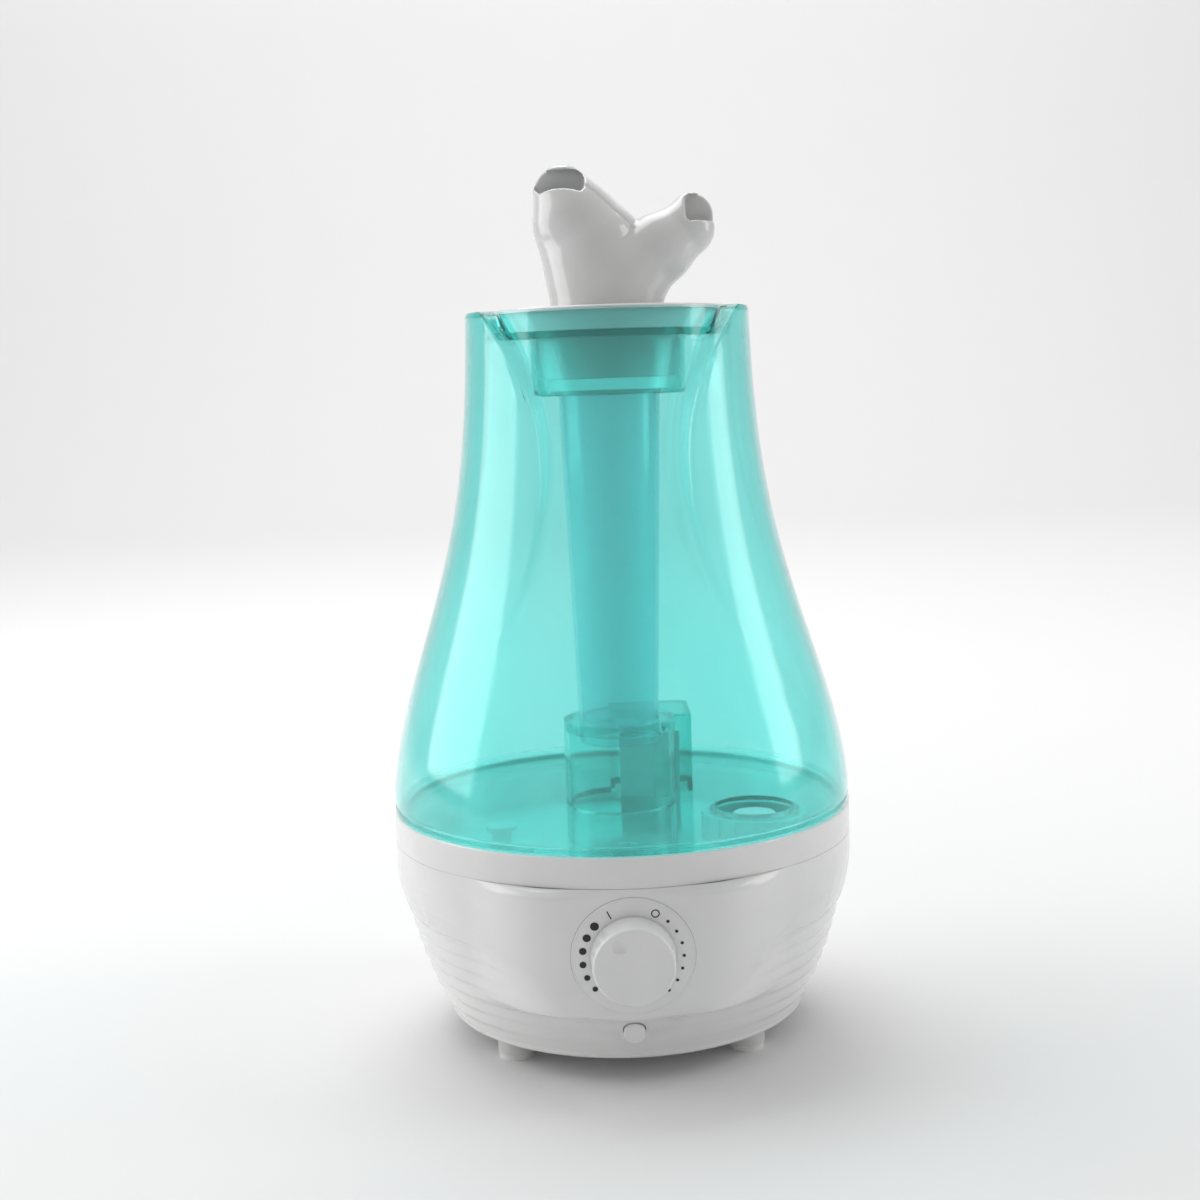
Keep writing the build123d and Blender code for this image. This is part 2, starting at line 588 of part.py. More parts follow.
with BuildPart() as control_board:
    with BuildSketch(FRONT.offset(BOARD_W - PCB_T)):
        with Locations((0, -16.0)):
            Rectangle(30.0, 46.0)
    extrude(amount=PCB_T)
finish(control_board, "control_board")

KNOB_LOW = DIAL_PROUD + LIFT_GAP
KNOB_FACE = KNOB_LOW + KNOB_H
KNOB_SEAT = KNOB_LOW + 2.3  # the knob's foot is hollow up to here
KNOB_CAP = KNOB_FACE - 2.6  # and between its rim and its hub up to here
DIMPLE_R = 5.0
DIMPLE_OUT = 10.2  # from the knob's axis
DIMPLE_LIFT = 4.0  # the ball that cuts it stands this far over the face
DIMPLE_TURN = math.radians(-30)  # it points at the highest output at rest
with BuildPart() as control_knob:
    with BuildSketch(FRONT.offset(KNOB_LOW)):
        Circle(KNOB_R)
    extrude(amount=KNOB_H, taper=KNOB_TAPER)
    fillet(control_knob.faces().sort_by(Axis((0, 0, 0), FRONT_DIR))[-1].edges(), 1.2)
    bar(FRONT, KNOB_R - 2.2, KNOB_LOW - 1, KNOB_SEAT, mode=Mode.SUBTRACT)
    with BuildSketch(FRONT.offset(KNOB_SEAT)):
        Circle(KNOB_R - 2.4)
        Circle(SHAFT_R + 2.4, mode=Mode.SUBTRACT)
    extrude(amount=KNOB_CAP - KNOB_SEAT, mode=Mode.SUBTRACT)
    bar(FRONT, SHAFT_R + PRESS_GAP, KNOB_LOW, KNOB_CAP, mode=Mode.SUBTRACT)
    # Finger dimple.
    dimple = (DIMPLE_OUT * math.sin(DIMPLE_TURN), DIMPLE_OUT * math.cos(DIMPLE_TURN), KNOB_FACE + DIMPLE_LIFT)
    with Locations(FRONT.from_local_coords(dimple)):
        Sphere(DIMPLE_R, mode=Mode.SUBTRACT)
finish(control_knob, "control_knob")

with BuildPart() as pot_shaft:
    bar(FRONT, SHAFT_R, POT_FRONT - 4.8, KNOB_CAP - 0.2)
finish(pot_shaft, "pot_shaft")

with BuildPart() as push_button:
    bar(FRONT, BUTTON_R, -17.0, BUTTON_FACE_W, at=BUTTON_AT)
    fillet(push_button.faces().sort_by(Axis((0, 0, 0), FRONT_DIR))[-1].edges(), 0.8)
    bar(FRONT, BUTTON_R + 1.7, -16.5, -15.0 - LIFT_GAP, at=BUTTON_AT)
    bar(FRONT, 2.2, -18.0, -17.0, at=BUTTON_AT)
finish(push_button, "push_button")

with BuildPart() as button_switch:
    with BuildSketch(FRONT.offset(BOARD_W + SLIP_GAP)):
        with Locations(BUTTON_AT):
            Rectangle(6.0, 6.0)
    extrude(amount=1.3)
    bar(FRONT, 1.75, BOARD_W + SLIP_GAP + 1.3, -19.9, at=BUTTON_AT)
finish(button_switch, "button_switch")

# ================================================================ power inlet at the back
with BuildPart() as dc_inlet:
    bar(REAR, INLET_R, -13.0, SLIP_GAP)
    bar(REAR, INLET_R + 1.4, SLIP_GAP, 1.3)
    bar(REAR, INLET_BORE_R, -9.0, 2.0, mode=Mode.SUBTRACT)
finish(dc_inlet, "dc_inlet")

with BuildPart() as inlet_pin:
    bar(REAR, 1.05, -8.9, 0.0)
finish(inlet_pin, "inlet_pin")

with BuildPart() as inlet_nut:
    with BuildSketch(REAR.offset(-WALL - 2.4 - SLIP_GAP - 2.2)):
        RegularPolygon(6.4, 6)
        Circle(INLET_R + PRESS_GAP, mode=Mode.SUBTRACT)
    extrude(amount=2.2)
finish(inlet_nut, "inlet_nut")

# ================================================================ float
FLOAT_AT = (FLOAT_X, FLOAT_Y)
MAGNET_LOW = FLOAT_LOW + 1.2

with BuildPart() as level_float:
    tube(FLOAT_AT, FLOAT_R, FLOAT_POST_R + 0.4, FLOAT_LOW, FLOAT_LOW + FLOAT_H)
    tube(FLOAT_AT, 9.05, 5.45, MAGNET_LOW - 0.05, MAGNET_LOW + 3.05, mode=Mode.SUBTRACT)
finish(level_float, "level_float")

with BuildPart() as float_magnet:
    tube(FLOAT_AT, 9.0, 5.5, MAGNET_LOW, MAGNET_LOW + 3.0)
finish(float_magnet, "float_magnet")

with BuildPart() as float_retainer:
    peg(FLOAT_AT, 6.5, FLOAT_POST_TOP + SLIP_GAP, FLOAT_POST_TOP + 1.8)
    peg(FLOAT_AT, 1.5, FLOAT_POST_TOP - 5.5, FLOAT_POST_TOP + SLIP_GAP)
finish(float_retainer, "float_retainer")

with BuildPart() as reed_switch:
    block(FLOAT_AT, (18.0, 7.0), TROUGH_UNDER - 1.7, TROUGH_UNDER - SLIP_GAP)
    glass_end = (FLOAT_X - 7, FLOAT_Y, TROUGH_UNDER - 3.0)
    with BuildSketch(Plane(origin=glass_end, x_dir=(0, 1, 0), z_dir=(1, 0, 0))):
        Circle(1.5)
    extrude(amount=14)
finish(reed_switch, "reed_switch")

# ================================================================ tank shell
PEAR_STEPS = 9


def pear_form(inset, low, high):
    """Turn the tank's bell curve, set in by a wall, between two heights."""
    heights = [low + (high - low) * step / PEAR_STEPS for step in range(PEAR_STEPS + 1)]
    with BuildSketch(Plane.XZ) as outline:
        with BuildLine():
            curve = Spline(*[(pear_radius(z) - inset, z) for z in heights])
            Polyline(curve @ 1, (0, high), (0, low), curve @ 0)
        make_face()
    revolve(outline.sketch, axis=Axis.Z)


def recess_cutter(grow):
    """The space in front of the recessed panel, from its foot up; grown by a wall for the inside."""
    heights = [TANK_TOP + 3.0] + [TANK_TOP - drop for drop in (12.0, 32.0, 62.0, 92.0, 112.0, 126.0, 134.0)]
    with BuildPart() as cutter:
        for z in heights:
            depth = recess_depth(z)
            surface = pear_radius(z)
            inner = surface - depth + 0.02 if depth > 0 else surface + 0.8
            outer = surface + 14.0
            lean = 3.0 * min(depth / 5.0, 1.0)
            spread = math.degrees(grow / surface)
            near = math.radians(crease_angle(z) - lean + spread)
            far = math.radians(crease_angle(z) + 2.0 + spread)
            inner -= grow

            def at(radius, angle):
                return (radius * math.sin(angle), -radius * math.cos(angle))

            with BuildSketch(Plane.XY.offset(z)):
                with BuildLine():
                    ThreePointArc(at(inner, -near), at(inner, 0), at(inner, near))
                    Line(at(inner, near), at(outer, far))
                    ThreePointArc(at(outer, far), at(outer, 0), at(outer, -far))
                    Line(at(outer, -far), at(inner, -near))
                make_face()
        loft()
    return cutter.part


front_cut = recess_cutter(0.0)
front_cut_grown = recess_cutter(WALL)
SHELL_Z = TANK_Z + 2.5
SEAT_R = LID_R + LIFT_GAP
DECK_TOP = DECK_Z + DECK_T

with BuildPart() as tank_hollow:
    pear_form(WALL, SHELL_Z - 1.0, TANK_TOP - WALL)
    add(front_cut_grown, mode=Mode.SUBTRACT)
    add(mirror(front_cut_grown, about=Plane.XZ), mode=Mode.SUBTRACT)
    peg((0, 0), SEAT_R, DECK_Z, TANK_TOP + 1, mode=Mode.SUBTRACT)

with BuildPart() as tank_shell:
    pear_form(0.0, SHELL_Z, TANK_TOP)
    add(front_cut, mode=Mode.SUBTRACT)
    add(mirror(front_cut, about=Plane.XZ), mode=Mode.SUBTRACT)
    add(tank_hollow.part, mode=Mode.SUBTRACT)
    # Seat for the lid, and the cup that the lid's neck goes into.
    peg((0, 0), SEAT_R, TANK_TOP - LID_T + LIFT_GAP, TANK_TOP + 1, mode=Mode.SUBTRACT)
    peg((0, 0), LID_SKIRT_R + 0.6, DECK_TOP, TANK_TOP + 1, mode=Mode.SUBTRACT)
    peg((0, 0), CUP_R, CUP_Z, DECK_Z)
    peg((0, 0), CUP_R - CUP_T, CUP_Z + CUP_T, DECK_TOP + 1, mode=Mode.SUBTRACT)
    peg((0, 0), TUBE_TOP_R + SLIP_GAP, CUP_Z - 1, CUP_Z + CUP_T + 1, mode=Mode.SUBTRACT)
finish(tank_shell, "tank_shell")

# ================================================================ tank floor
FLOOR_TOP = TANK_Z - 1.6
FLOOR_LOW = FLOOR_TOP - WALL
FLOOR_OUT = RING_IN - LIFT_GAP
COLLAR_TOP = TANK_Z + COLLAR_H - 0.3
POCKET_W = CHIMNEY_W + 2 * (POCKET_T + 2.5)
POCKET_BACK = CHIMNEY_Y + CHIMNEY_D / 2 + 2.5 + POCKET_T

with BuildPart() as tank_floor:
    flange_out, flange_in, flange_top = TANK_FOOT_R - 0.2, FLOOR_OUT - WALL, SHELL_Z - WELD_GAP
    turn([
        (0, FLOOR_LOW), (FLOOR_OUT, FLOOR_LOW), (FLOOR_OUT, TANK_Z), (flange_out, TANK_Z),
        (flange_out, flange_top), (flange_in, flange_top), (flange_in, FLOOR_TOP), (0, FLOOR_TOP),
    ])
    peg((0, 0), COLLAR_R, COLLAR_SKIRT_Z, COLLAR_TOP)
    block((CHIMNEY_X, POCKET_BACK / 2 + 5), (POCKET_W, POCKET_BACK - 10), FLOOR_LOW, POCKET_TOP)
    # Pocket over the chimney, open to the collar's bore.
    block(
        (CHIMNEY_X, (POCKET_BACK - POCKET_T + 15) / 2),
        (POCKET_W - 2 * POCKET_T, POCKET_BACK - POCKET_T - 15),
        COLLAR_SKIRT_Z + 14.0 - 2.0,
        POCKET_TOP - POCKET_T,
        mode=Mode.SUBTRACT,
    )
    peg((0, 0), COLLAR_R - COLLAR_T, COLLAR_SKIRT_Z - 1, COLLAR_TOP - 5.0, mode=Mode.SUBTRACT)
    peg((0, 0), TUBE_FOOT_R + 0.3, COLLAR_TOP - 6.0, COLLAR_TOP + 1, mode=Mode.SUBTRACT)
    # Filler neck.
    peg((FILL_X, FILL_Y), FILL_R + FILL_NECK_T, FILL_NECK_Z, FLOOR_LOW)
    peg((FILL_X, FILL_Y), FILL_R, FILL_NECK_Z - 1, FLOOR_TOP + 1, mode=Mode.SUBTRACT)
    with Locations((0, DOME_Y, FLOOR_TOP - 3.0)):
        Sphere(DOME_R, arc_size1=25)
finish(tank_floor, "tank_floor")

with BuildPart() as mist_tube:
    foot = COLLAR_TOP - TUBE_Z
    slope = (TUBE_TOP_R - TUBE_FOOT_R) / (CUP_Z + CUP_T - COLLAR_TOP)
    low_r = TUBE_FOOT_R - slope * foot
    tube_top = CUP_Z + CUP_T
    turn([
        (low_r, TUBE_Z), (TUBE_FOOT_R, COLLAR_TOP), (TUBE_TOP_R, CUP_Z), (TUBE_TOP_R, tube_top),
        (TUBE_TOP_R - TUBE_T, tube_top), (TUBE_FOOT_R - TUBE_T, COLLAR_TOP), (low_r - TUBE_T, TUBE_Z),
    ])
finish(mist_tube, "mist_tube")

# ================================================================ filler cap and valve
FILL_AT = (FILL_X, FILL_Y)
NECK_OUT = FILL_R + FILL_NECK_T
CAP_IN = NECK_OUT + 0.6
CAP_OUT = CAP_IN + 2.2
CAP_FLOOR_TOP = FILL_NECK_Z - 1.5
CAP_LOW = CAP_FLOOR_TOP - 2.0
CAP_RIM = FLOOR_LOW - 1.0
FLOW_HOLES = 6
FLOW_RING_R = 6.6
GRIP_RIBS = 18
HUB_R = 4.0
STEM_R = 2.03
VALVE_LIFT = 2.8
SEAL_OPEN_Z = CAP_FLOOR_TOP + VALVE_LIFT + LIFT_GAP

with BuildPart() as fill_cap:
    turn([
        (0, CAP_LOW), (CAP_OUT, CAP_LOW), (CAP_OUT, CAP_RIM), (CAP_IN, CAP_RIM), (CAP_IN, CAP_FLOOR_TOP),
        (HUB_R, CAP_FLOOR_TOP), (HUB_R, CAP_FLOOR_TOP + 3.5), (0, CAP_FLOOR_TOP + 3.5),
    ], FILL_AT)
    peg(FILL_AT, STEM_R + 0.07, CAP_LOW - 1, CAP_FLOOR_TOP + 5, mode=Mode.SUBTRACT)
    for hole in range(FLOW_HOLES):
        turned = math.tau * hole / FLOW_HOLES
        place = (FILL_X + FLOW_RING_R * math.cos(turned), FILL_Y + FLOW_RING_R * math.sin(turned))
        peg(place, 1.6, CAP_LOW - 1, CAP_FLOOR_TOP + 1, mode=Mode.SUBTRACT)
    for rib in range(GRIP_RIBS):
        with BuildSketch(Plane.XY.offset(CAP_LOW)):
            with Locations(Location((FILL_X, FILL_Y), 360.0 / GRIP_RIBS * rib)):
                with Locations((CAP_OUT, 0)):
                    Rectangle(1.4, 2.0)
        extrude(amount=CAP_RIM - CAP_LOW)
finish(fill_cap, "fill_cap")

with BuildPart() as cap_gasket:
    tube(FILL_AT, NECK_OUT, FILL_R + 0.2, CAP_FLOOR_TOP + SLIP_GAP, FILL_NECK_Z - SLIP_GAP)
finish(cap_gasket, "cap_gasket")

STEM_FOOT = PIN_TOP + LIFT_GAP
with BuildPart() as valve_plunger:
    head_low, head_in, head_top = SEAL_OPEN_Z + 1.6, SEAL_OPEN_Z + 3.9, SEAL_OPEN_Z + 5.4
    turn([
        (0, STEM_FOOT), (4.6, STEM_FOOT), (4.6, STEM_FOOT + 1.5), (STEM_R, STEM_FOOT + 1.5),
        (STEM_R, head_in), (5.0, head_in), (5.0, head_low), (8.6, head_low), (8.6, head_top), (0, head_top),
    ], FILL_AT)
finish(valve_plunger, "valve_plunger")

with BuildPart() as valve_seal:
    tube(FILL_AT, 9.2, HUB_R + 0.5, SEAL_OPEN_Z, SEAL_OPEN_Z + 1.5)
finish(valve_seal, "valve_seal")

SPRING_LOW = STEM_FOOT + 1.5 + 0.45
SPRING_RISE = CAP_LOW - 0.45 - SPRING_LOW
with BuildPart() as valve_spring:
    with BuildLine() as coil:
        Helix(pitch=SPRING_RISE / 2.5, height=SPRING_RISE, radius=3.3, center=(FILL_X, FILL_Y, SPRING_LOW))
    with BuildSketch(Plane(origin=coil.line @ 0, z_dir=coil.line % 0)):
        Circle(0.32)
    sweep()
finish(valve_spring, "valve_spring")

# ================================================================ lid
LID_TOP = TANK_TOP + LID_T - 1.2
LID_LOW = LID_TOP - LID_T
LID_NECK_OUT = CUP_R - CUP_T - LIFT_GAP
HOLE_R = SPIGOT_R + LIFT_GAP

with BuildPart() as top_lid:
    eased = 0.5
    turn([
        (HOLE_R, LID_LOW), (LID_R, LID_LOW), (LID_R, LID_TOP - eased),
        (LID_R - eased, LID_TOP), (HOLE_R, LID_TOP),
    ])
    tube((0, 0), LID_SKIRT_R, LID_SKIRT_R - LID_SKIRT_T, DECK_TOP + LIFT_GAP, LID_LOW)
    tube((0, 0), LID_NECK_OUT, LID_NECK_OUT - LID_NECK_T, LID_LOW - LID_NECK_H, LID_LOW)
finish(top_lid, "top_lid")

# ================================================================ nozzle
NOZZLE_Z = LID_TOP + LIFT_GAP
HORN_RISE = math.radians(38.0)
HORN_TOP = NOZZLE_H - 1.0
LEFT_LIP = 47.5  # lower lips of the two mouths, above the nozzle's foot
RIGHT_LIP = 33.0


def left_horn(inset):
    """The stout left horn, lofted through round sections that lean out to -X."""
    sections = [
        (0.0, 0.0, 12.0, 22.6, 22.4), (-2.0, 0.0, 21.0, 22.4, 22.0), (-6.5, 0.0, 32.0, 21.6, 20.0),
        (-12.2, 1.0, 43.0, 17.0, 16.0), (-15.5, 3.0, 52.0, 12.2, 11.6), (-17.0, 4.5, HORN_TOP, 5.2, 5.2),
    ]
    with BuildPart() as horn:
        for across, back, rise, width, depth in sections:
            lower = inset if rise == HORN_TOP else 0.0
            with BuildSketch(Plane.XY.offset(NOZZLE_Z + rise - lower)):
                with Locations((across, back)):
                    Ellipse(width - inset, depth - inset)
        loft()
    return horn.part


def right_horn(inset):
    """The slim right horn, lofted along a line that climbs out to +X."""
    sections = [(0.0, 15.0), (12.0, 13.2), (24.0, 11.2), (33.0, 9.8), (38.5, 6.6)]
    start = (8.0, 0.0, NOZZLE_Z + 16.5)
    along = (math.cos(HORN_RISE), 0.0, math.sin(HORN_RISE))
    with BuildPart() as horn:
        for distance, radius in sections:
            shorten = inset if distance > 35 else 0.0
            reach = distance - shorten
            origin = tuple(start[axis] + reach * along[axis] for axis in range(3))
            with BuildSketch(Plane(origin=origin, x_dir=(0, 1, 0), z_dir=along)):
                Ellipse(radius * 1.1 - inset, radius - inset)
        loft()
    return horn.part


horns = [left_horn(0.0), right_horn(0.0)]
horn_bores = [left_horn(NOZZLE_T), right_horn(NOZZLE_T)]
MOUTH_REACH = 30.0

with BuildPart() as mist_nozzle:
    peg((0, 0), NOZZLE_R, NOZZLE_Z, NOZZLE_Z + 14.0)
    for horn in horns:
        add(horn)
    for bore in horn_bores:
        add(bore, mode=Mode.SUBTRACT)
    peg((0, 0), SPIGOT_R, NOZZLE_Z - SPIGOT_H, NOZZLE_Z)
    peg((0, 0), SPIGOT_R - SPIGOT_T, NOZZLE_Z - SPIGOT_H - 1, NOZZLE_Z + 16.0, mode=Mode.SUBTRACT)
    # Each mouth is open to the front, under a hood left standing behind it.
    for inner_edge, hood_y, lip_rise, side in ((-7.5, 1.0, LEFT_LIP, -1), (33.5, 0.5, RIGHT_LIP, 1)):
        middle = (inner_edge + side * MOUTH_REACH / 2, hood_y - MOUTH_REACH / 2)
        lip_z, over_z = NOZZLE_Z + lip_rise, NOZZLE_Z + NOZZLE_H + 1
        block(middle, (MOUTH_REACH, MOUTH_REACH), lip_z, over_z, mode=Mode.SUBTRACT)
finish(mist_nozzle, "mist_nozzle")
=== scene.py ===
"""Looks of a cool mist humidifier: a clear teal tank on a ribbed white base, with a two-mouth nozzle.

Every length is in metres unless a name ends in _mm. The frame's Z axis is the tank's axis, the floor is at
Z = 0 and the control knob faces -Y.
"""

from __future__ import annotations

import json
import logging
import math
from abc import ABC, abstractmethod
from dataclasses import dataclass, field, replace
from enum import Enum
from typing import Callable, Iterable, Sequence

import bmesh
import bpy
import numpy as np
import openvdb
from mathutils import Matrix, Vector

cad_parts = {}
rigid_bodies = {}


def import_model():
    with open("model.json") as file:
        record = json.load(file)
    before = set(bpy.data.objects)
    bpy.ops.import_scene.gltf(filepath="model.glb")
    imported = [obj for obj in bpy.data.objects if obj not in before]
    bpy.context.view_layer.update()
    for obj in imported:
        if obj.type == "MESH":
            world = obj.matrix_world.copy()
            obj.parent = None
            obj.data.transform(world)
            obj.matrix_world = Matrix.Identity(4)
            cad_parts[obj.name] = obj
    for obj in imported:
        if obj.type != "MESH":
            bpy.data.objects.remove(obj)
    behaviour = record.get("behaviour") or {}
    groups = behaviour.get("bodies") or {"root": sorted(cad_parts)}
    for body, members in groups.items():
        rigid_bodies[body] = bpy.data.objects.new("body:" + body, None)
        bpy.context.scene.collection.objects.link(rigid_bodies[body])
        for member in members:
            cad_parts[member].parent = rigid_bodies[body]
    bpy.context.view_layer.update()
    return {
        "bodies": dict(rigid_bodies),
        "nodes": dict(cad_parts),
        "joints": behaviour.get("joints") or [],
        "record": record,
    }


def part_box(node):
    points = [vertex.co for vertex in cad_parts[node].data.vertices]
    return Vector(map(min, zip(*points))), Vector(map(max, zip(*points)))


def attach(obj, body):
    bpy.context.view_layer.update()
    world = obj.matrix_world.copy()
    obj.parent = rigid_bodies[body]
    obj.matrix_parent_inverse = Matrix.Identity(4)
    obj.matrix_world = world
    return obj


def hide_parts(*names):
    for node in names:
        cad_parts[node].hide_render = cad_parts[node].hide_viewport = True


LOG = logging.getLogger("humidifier")
MM = 0.001
WELD = 0.000004  # points closer than this are one
Colour = tuple[float, float, float]
Place = tuple[float, float, float]
Grid = tuple[np.ndarray, np.ndarray, np.ndarray]


# ---------------------------------------------------------------- node arithmetic
def maths(operation: str) -> Callable[..., Term]:
    """A method of Term that adds one Math node.

    Args:
        operation: The Math node's operation.

    Returns:
        The method, whose arguments are the node's second and third values.
    """

    def method(self: Term, *others: Term | float) -> Term:
        """Give the node's result."""
        node = self.tree.nodes.new("ShaderNodeMath")
        node.operation = operation
        for slot, value in enumerate((self, *others)):
            if isinstance(value, Term):
                self.tree.links.new(value.socket, node.inputs[slot])
            else:
                node.inputs[slot].default_value = value
        return Term(self.tree, node.outputs[0])

    return method


class Term:
    """A number that nodes work out, with the usual arithmetic, in a shader tree or a geometry tree."""

    def __init__(self, tree: bpy.types.NodeTree, socket: bpy.types.NodeSocket) -> None:
        """Keep the socket that carries the number.

        Args:
            tree: The tree that the nodes are added to.
            socket: The output socket that carries the number.
        """
        self.tree = tree
        self.socket = socket

    __add__ = __radd__ = maths("ADD")
    __sub__ = maths("SUBTRACT")
    __mul__ = __rmul__ = maths("MULTIPLY")
    __truediv__ = maths("DIVIDE")
    __pow__ = maths("POWER")
    absolute = maths("ABSOLUTE")
    sine = maths("SINE")
    cosine = maths("COSINE")
    exponential = maths("EXPONENT")
    fraction = maths("FRACT")
    at_least = maths("MAXIMUM")
    at_most = maths("MINIMUM")

    def __rsub__(self, other: float) -> Term:
        """Difference from a plain number."""
        return self * -1.0 + other

    def __rtruediv__(self, other: float) -> Term:
        """Quotient of a plain number."""
        return self**-1.0 * other

    def share(self, low: Term | float, high: Term | float) -> Term:
        """How far the number is from low to high, kept between 0 and 1.

        Args:
            low: Where the share is 0.
            high: Where the share is 1.

        Returns:
            The share.
        """
        span = high - low
        return ((self - low) / span).at_least(0.0).at_most(1.0)

    def ease(self, low: Term | float, high: Term | float) -> Term:
        """As share, with a smooth start and end.

        Args:
            low: Where it is 0.
            high: Where it is 1.

        Returns:
            The eased share.
        """
        t = self.share(low, high)
        return t * t * (3.0 - 2.0 * t)


def blend_of(first: Term | float, second: Term | float, amount: Term) -> Term:
    """Go from one number to another.

    Args:
        first: The number where amount is 0.
        second: The number where amount is 1.
        amount: From 0 to 1.

    Returns:
        The number between them.
    """
    return amount * (second - first) + first


# ---------------------------------------------------------------- finishes
class Texture(Enum):
    """How a surface feels, as (bump depth, coarse scale per metre, fine scale per metre)."""

    POLISHED = (0.00004, 90.0, 700.0)
    SATIN = (0.00008, 160.0, 2600.0)
    SPARKED = (0.00016, 700.0, 4200.0)
    RUBBERY = (0.00020, 400.0, 3400.0)
    CAST = (0.00025, 500.0, 1800.0)


class FinishTree:
    """The node tree of one finish while it is put together."""

    def __init__(self, name: str) -> None:
        """Start a material with a bare Principled shader.

        Args:
            name: The material's name.
        """
        self.material = bpy.data.materials.new(name)
        self.material.use_nodes = True
        self.tree = self.material.node_tree
        self.shader = self.tree.nodes["Principled BSDF"]
        self.output = self.tree.nodes["Material Output"]
        self.place = self.tree.nodes.new("ShaderNodeTexCoord").outputs["Object"]

    def set(self, **values: float | Colour) -> None:
        """Set the shader's own sockets; an underscore in a name stands for a space.

        Args:
            values: Socket name and value.
        """
        for name, value in values.items():
            socket = self.shader.inputs[name.replace("_", " ")]
            socket.default_value = (*value, 1.0) if isinstance(value, tuple) else value

    def stretched(self, factors: Place) -> bpy.types.NodeSocket:
        """Object coordinates stretched along each axis.

        Args:
            factors: Scale along each axis.

        Returns:
            The vector's socket.
        """
        node = self.tree.nodes.new("ShaderNodeMapping")
        node.inputs["Scale"].default_value = factors
        self.tree.links.new(self.place, node.inputs["Vector"])
        return node.outputs["Vector"]

    def noise(self, scale: float, detail: float = 3.0, place: bpy.types.NodeSocket | None = None) -> Term:
        """Smooth noise.

        Args:
            scale: Features per metre.
            detail: Octaves.
            place: Vector socket, or None for object coordinates.

        Returns:
            The noise, about 0.5 on average.
        """
        node = self.tree.nodes.new("ShaderNodeTexNoise")
        node.inputs["Scale"].default_value = scale
        node.inputs["Detail"].default_value = detail
        self.tree.links.new(place or self.place, node.inputs["Vector"])
        return Term(self.tree, node.outputs["Fac"])

    def cells(self, scale: float, feature: str = "F1") -> Term:
        """Cell pattern.

        Args:
            scale: Cells per metre.
            feature: The Voronoi node's feature.

        Returns:
            The distance within each cell.
        """
        node = self.tree.nodes.new("ShaderNodeTexVoronoi")
        node.feature = feature
        node.inputs["Scale"].default_value = scale
        self.tree.links.new(self.place, node.inputs["Vector"])
        return Term(self.tree, node.outputs["Distance"])

    def patches(self, per_metre: float, detail: float, low: float, high: float) -> Term:
        """Noise drawn out into patches.

        Args:
            per_metre: Features per metre.
            detail: Octaves.
            low: Noise up to which a place is off a patch.
            high: Noise from which it is on one.

        Returns:
            From 0 to 1.
        """
        return self.noise(per_metre, detail).ease(low, high)

    def grain(self, coarse: float, fine: float, coarse_share: float) -> Term:
        """Coarse and fine noise together.

        Args:
            coarse: Coarse features per metre.
            fine: Fine features per metre.
            coarse_share: What the coarse one makes up of the whole.

        Returns:
            From 0 to 1.
        """
        return self.noise(coarse, 2.0) * coarse_share + self.noise(fine, 2.0) * (1.0 - coarse_share)

    def shade(self, first: Colour, second: Colour, amount: Term, socket: str = "Base Color") -> None:
        """Colour a socket between two colours.

        Args:
            first: The colour where amount is 0.
            second: The colour where amount is 1.
            amount: From 0 to 1.
            socket: The shader's socket.
        """
        node = self.tree.nodes.new("ShaderNodeMix")
        node.data_type = "RGBA"
        self.tree.links.new(amount.socket, node.inputs[0])
        node.inputs[6].default_value = (*first, 1.0)
        node.inputs[7].default_value = (*second, 1.0)
        self.tree.links.new(node.outputs[2], self.shader.inputs[socket])

    def roughen(self, pattern: Term, spread: float, least: float) -> None:
        """Let the roughness follow a pattern.

        Args:
            pattern: From 0 to 1.
            spread: What the pattern adds.
            least: Roughness where the pattern is 0.
        """
        self.tree.links.new((pattern * spread + least).socket, self.shader.inputs["Roughness"])

    def bump(self, height: Term, depth: float) -> None:
        """Raise the surface.

        Args:
            height: From 0 to 1.
            depth: Depth of the relief in metres.
        """
        node = self.tree.nodes.new("ShaderNodeBump")
        node.inputs["Distance"].default_value = depth
        self.tree.links.new(height.socket, node.inputs["Height"])
        self.tree.links.new(node.outputs["Normal"], self.shader.inputs["Normal"])


def darker(colour: Colour, by: float) -> Colour:
    """A colour made darker by a share."""
    return tuple(channel * (1.0 - by) for channel in colour)


@dataclass(frozen=True)
class Finish(ABC):
    """A finish, under the name that its material gets."""

    name: str

    @abstractmethod
    def fill(self, made: FinishTree) -> None:
        """Fill a bare tree with the finish's nodes.

        Args:
            made: The finish's tree.
        """

    def build(self) -> bpy.types.Material:
        """Make the material.

        Returns:
            The material.
        """
        made = FinishTree(self.name)
        self.fill(made)
        return made.material


@dataclass(frozen=True)
class Moulded(Finish):
    """Opaque moulded plastic or rubber: a little mottled, with the mould's own texture and handling marks."""

    colour: Colour
    roughness: float
    texture: Texture
    mottle: float = 0.035
    coat: float = 0.0

    def fill(self, made: FinishTree) -> None:
        """Fill the tree."""
        depth, coarse, fine = self.texture.value
        cloud = made.patches(per_metre=38.0, detail=4.0, low=0.35, high=0.7)
        made.shade(self.colour, darker(self.colour, self.mottle), cloud)
        smears = made.patches(per_metre=110.0, detail=5.0, low=0.4, high=0.75)
        made.roughen(smears, spread=0.22 * self.roughness, least=0.92 * self.roughness)
        made.bump(made.grain(coarse, fine, coarse_share=0.6), depth)
        made.set(Coat_Weight=self.coat, Coat_Roughness=0.06, IOR=1.5)


